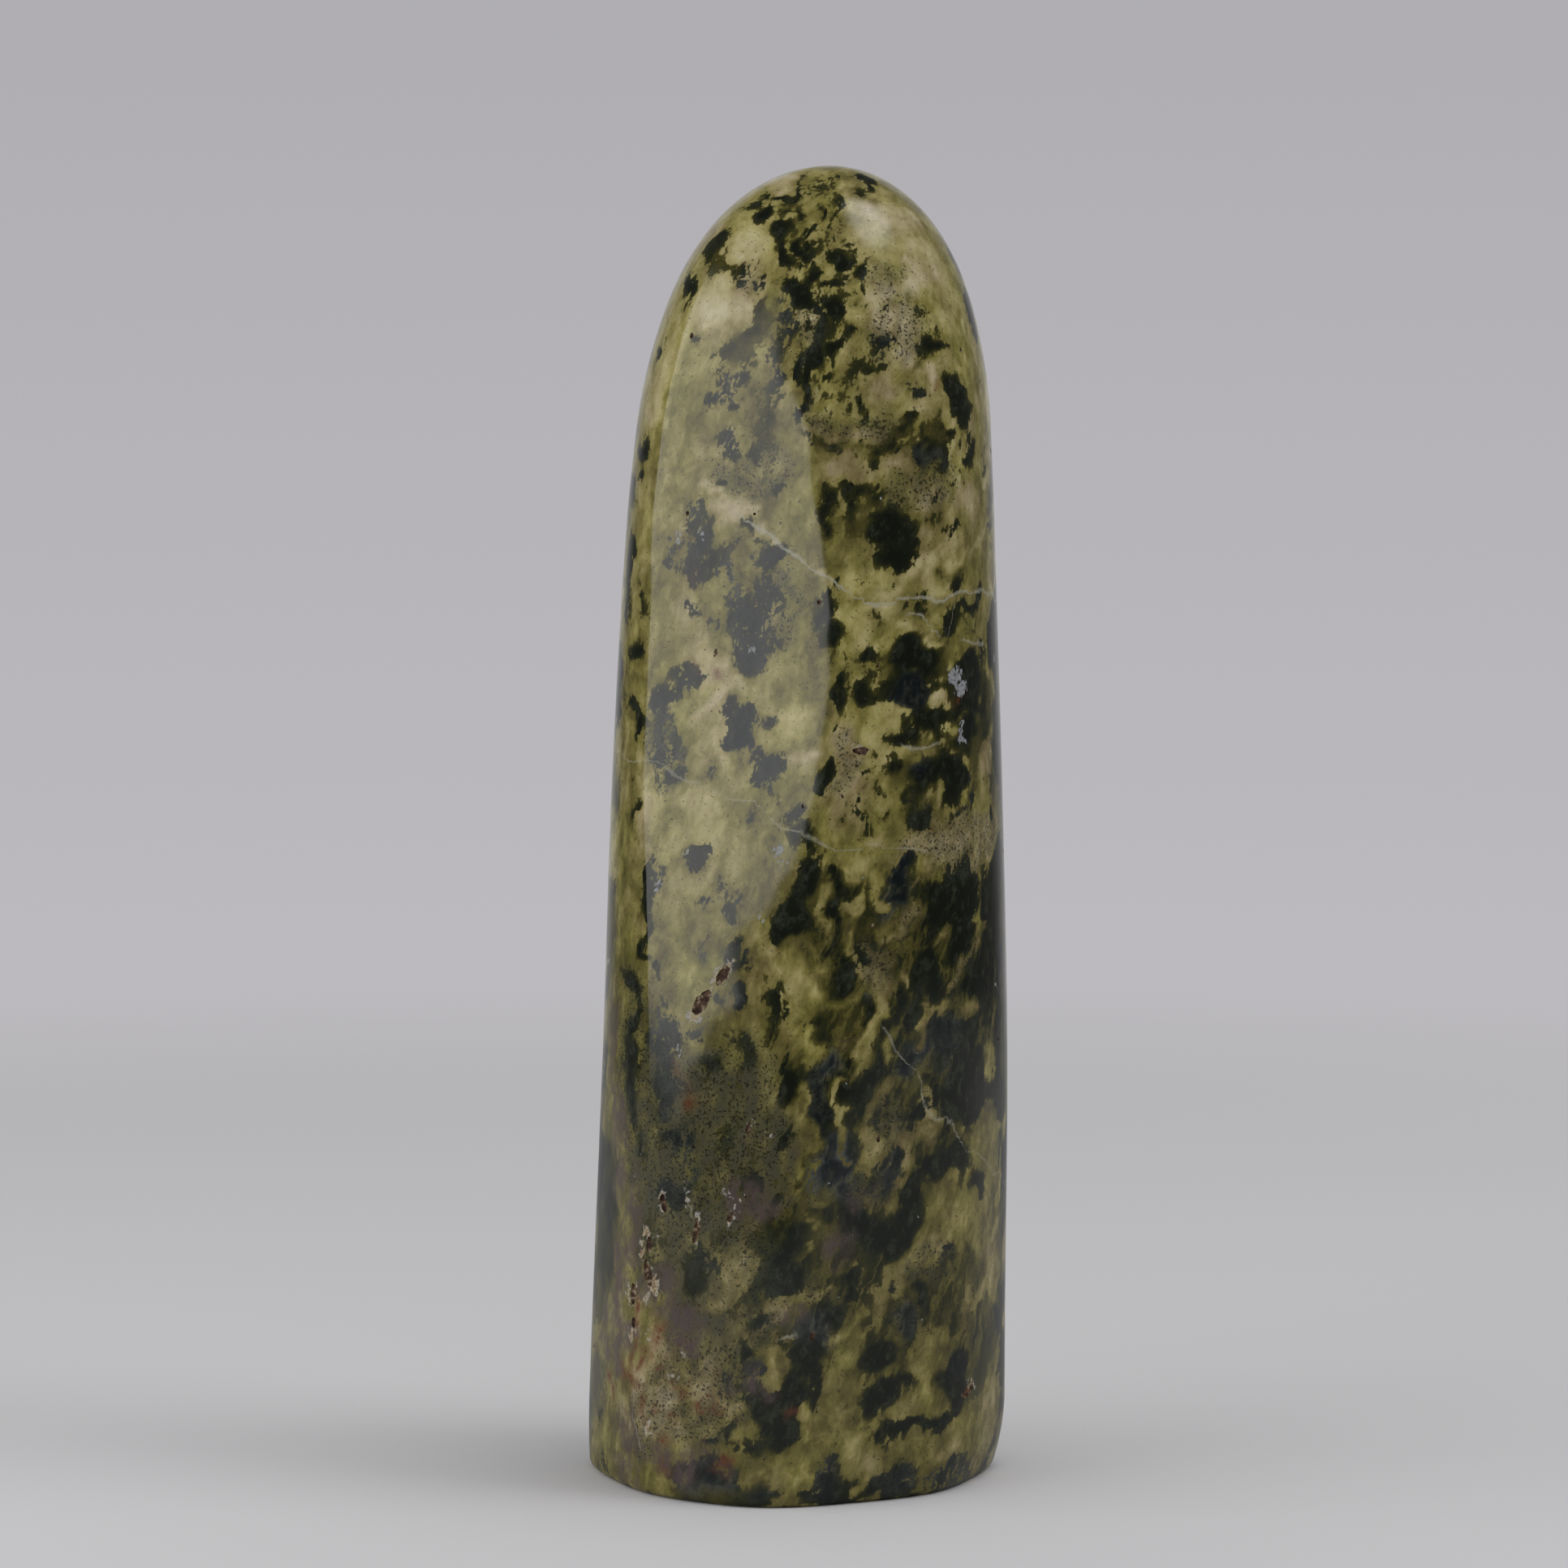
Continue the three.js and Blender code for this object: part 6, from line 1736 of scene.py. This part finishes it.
@dataclass(frozen=True)
class Studio:
    """Pale floor, soft lights and the camera; lengths in mm, turns in degrees from the front.

    The camera's aim and focal length are close to the result of the solver that StoneForm names.
    """

    camera_aim: tuple[float, float, float] = (-1.53, -0.505, 79.75)
    camera_rise: float = 5.5
    camera_distance: float = 750
    focal_length: float = 151.2
    floor_solid: float = 250
    floor_reach: float = 480
    floor_sides: int = 96
    floor_tone: tuple[float, float, float] = (0.875, 0.865, 0.885)
    floor_mirrored: tuple[float, float, float] = (0.4, 0.4, 0.4)
    backdrop_low: tuple[float, float, float] = (0.51, 0.498, 0.522)
    backdrop_high: tuple[float, float, float] = (0.43, 0.42, 0.441)
    backdrop_band: tuple[float, float] = (-0.14, 0.02)
    fill: float = 0.3
    room: tuple[float, float] = (0.06, 0.42)
    room_from: tuple[float, float] = (0.8, 1.0)
    panel_away: float = 450
    panel_turn: float = -66
    panel_heights: tuple[float, ...] = (0, 30, 44, 70, 90, 110, 150, 290, 620)
    panel_left: tuple[float, ...] = (-76, -78, -78, -80, -88, -98, -98, -97, -97)
    panel_right: tuple[float, ...] = (-52, -40, -36, -35.5, -31.5, -33.5, -34.5, -38, -42)
    panel_fades: tuple[tuple[float, float], ...] = ((-10, 40), (620, 300))
    panel_glow: float = 1.55
    lamp_away: float = 1000
    lamp_aim: float = 70
    lamp_way: tuple[float, float, float] = (0.22, -0.07, 0.97)
    lamp_width: float = 700
    lamp_glow: float = 2.5
    side_way: tuple[float, float, float] = (0.72, -0.2, 0.66)
    side_width: float = 650
    side_glow: float = 3.1

    def camera(self) -> None:
        """Places the camera."""
        lens = bpy.data.cameras.new("camera")
        lens.lens = self.focal_length
        lens.clip_start = 0.01
        camera = bpy.data.objects.new("camera", lens)
        rise = math.radians(self.camera_rise)
        aim = Vector(self.camera_aim) * MM
        away = Vector((0, -math.cos(rise), math.sin(rise))) * (self.camera_distance * MM)
        camera.location = aim + away
        camera.rotation_euler = (-away).to_track_quat("-Z", "Y").to_euler()
        bpy.context.scene.collection.objects.link(camera)
        bpy.context.scene.camera = camera

    def lamp(self, name: str, way: tuple[float, float, float], width: float, glow: float,
             mirrored: bool) -> None:
        """Adds a round soft lamp, brightest in its middle.

        Args:
            name: Its name.
            way: Direction in which it stands from the stone.
            width: Its width in mm.
            glow: Radiance of its middle.
            mirrored: Whether the polish mirrors it.
        """
        middle = Vector((0, 0, self.lamp_aim * MM))
        over = middle + Vector(way).normalized() * (self.lamp_away * MM)
        lamp = bpy.data.lights.new(name, "AREA")
        lamp.shape = "DISK"
        lamp.size = width * MM
        lamp.energy = glow * math.pi ** 2 / 4 * lamp.size ** 2
        add = empty_nodes(lamp)
        spot = add("ShaderNodeNewGeometry", (), "Position")
        off = add(VECTOR, (spot, over), "Value", operation="DISTANCE")
        soft = add(RANGE, {"Value": off, "From Min": lamp.size * 0.5, "From Max": lamp.size * 0.2},
                   interpolation_type="SMOOTHSTEP")
        add("ShaderNodeOutputLight", {"Surface": add("ShaderNodeEmission", {"Strength": soft})})
        thing = bpy.data.objects.new(name, lamp)
        thing.location = over
        thing.rotation_euler = (middle - over).to_track_quat("-Z", "Y").to_euler()
        thing.visible_camera = False
        thing.visible_glossy = mirrored
        bpy.context.scene.collection.objects.link(thing)

    def panel(self) -> None:
        """Adds the tall glowing panel on the left, which the polish mirrors."""
        turn = math.radians(self.panel_turn)
        away = np.array([math.sin(turn), -math.cos(turn), 0.0]) * self.panel_away
        along = np.array([math.cos(turn), math.sin(turn), 0.0]) * self.panel_away
        rows = [
            away + along * math.tan(math.radians(edge - self.panel_turn)) + np.array([0, 0, height])
            for edges in (self.panel_left, self.panel_right)
            for edge, height in zip(edges, self.panel_heights)
        ]
        count = len(self.panel_heights)
        faces = [(i, i + count, i + count + 1, i + 1) for i in range(count - 1)]
        card = mesh_object("light_panel", np.array(rows) * MM, faces)
        card.visible_camera = False
        material = bpy.data.materials.new("light_panel")
        add = empty_nodes(material)
        height = add("ShaderNodeSeparateXYZ", (add("ShaderNodeTexCoord", (), "Object"),), "Z")
        glow = self.panel_glow
        for gone, full in self.panel_fades:
            share = add(RANGE, {"Value": height, "From Min": gone * MM, "From Max": full * MM},
                        interpolation_type="SMOOTHSTEP")
            glow = add(MATH, (share, glow), operation="MULTIPLY")
        add("ShaderNodeOutputMaterial", {"Surface": add("ShaderNodeEmission", {"Strength": glow})})
        card.data.materials.append(material)

    def floor(self) -> None:
        """Adds the pale floor, which fades into the backdrop."""
        turns = np.linspace(0, 2 * math.pi, self.floor_sides, endpoint=False)
        rim = np.stack([np.cos(turns), np.sin(turns), 0 * turns], axis=1) * (self.floor_reach * MM)
        disc = mesh_object("pale_floor", rim, [tuple(range(len(turns)))])
        material = bpy.data.materials.new("pale_floor")
        add = empty_nodes(material)
        far = add(VECTOR, (add("ShaderNodeTexCoord", (), "Object"),), "Value", operation="LENGTH")
        gone = add(RANGE, {"Value": far, "From Min": self.floor_solid * MM,
                           "From Max": self.floor_reach * MM}, interpolation_type="SMOOTHSTEP")
        mirrored = add("ShaderNodeLightPath", (), "Is Glossy Ray")
        tone = add(MIX, {"Factor": mirrored, 6: (*self.floor_tone, 1.0),
                         7: (*self.floor_mirrored, 1.0)}, data_type="RGBA")
        matt = add("ShaderNodeBsdfDiffuse", {"Color": tone})
        shader = add("ShaderNodeMixShader", (gone, matt, add("ShaderNodeBsdfTransparent")))
        add("ShaderNodeOutputMaterial", {"Surface": shader})
        disc.data.materials.append(material)

    def world(self) -> None:
        """Adds the backdrop, the soft fill and the dim room that the polish mirrors."""
        world = bpy.data.worlds.new("studio")
        bpy.context.scene.world = world
        add = empty_nodes(world)
        behind = add("ShaderNodeSeparateXYZ", (add("ShaderNodeTexCoord", (), "Generated"),), "Y")
        room = add(RANGE, {"Value": behind, "From Min": self.room_from[0], "From Max": self.room_from[1],
                           "To Min": self.room[0], "To Max": self.room[1]},
                   interpolation_type="SMOOTHSTEP")
        lit = add(MIX, {"Factor": add("ShaderNodeLightPath", (), "Is Glossy Ray"),
                        6: (self.fill, self.fill, self.fill, 1.0), 7: room}, data_type="RGBA")
        rise = add("ShaderNodeSeparateXYZ", (add("ShaderNodeTexCoord", (), "Generated"),), "Z")
        low, high = self.backdrop_band
        rise = add(RANGE, {"Value": rise, "From Min": low, "From Max": high})
        wall = add(MIX, {"Factor": rise, 6: (*self.backdrop_low, 1.0), 7: (*self.backdrop_high, 1.0)},
                   data_type="RGBA")
        seen = add(MIX, {"Factor": add("ShaderNodeLightPath", (), "Is Camera Ray"), 6: lit, 7: wall},
                   data_type="RGBA")
        add("ShaderNodeOutputWorld", {"Surface": add("ShaderNodeBackground", {"Color": seen})})

    def build(self) -> None:
        """Sets the whole studio up."""
        bpy.context.scene.view_settings.view_transform = "Standard"
        self.camera()
        self.floor()
        self.panel()
        self.lamp("overhead_lamp", self.lamp_way, self.lamp_width, self.lamp_glow, True)
        self.lamp("side_lamp", self.side_way, self.side_width, self.side_glow, False)
        self.world()


# ---- Making it all ---------------------------------------------------------------------------


def main() -> None:
    """Builds the studio and the stone, and reports each piece."""
    logging.basicConfig(level=logging.INFO, format="%(relativeCreated)d %(name)s: %(message)s")
    Studio().build()
    log.info("studio ready")
    stone = SerpentineTower().build()
    log.info("%s: %d faces", stone.name, len(stone.data.polygons))


if __name__ == "__main__":
    main()
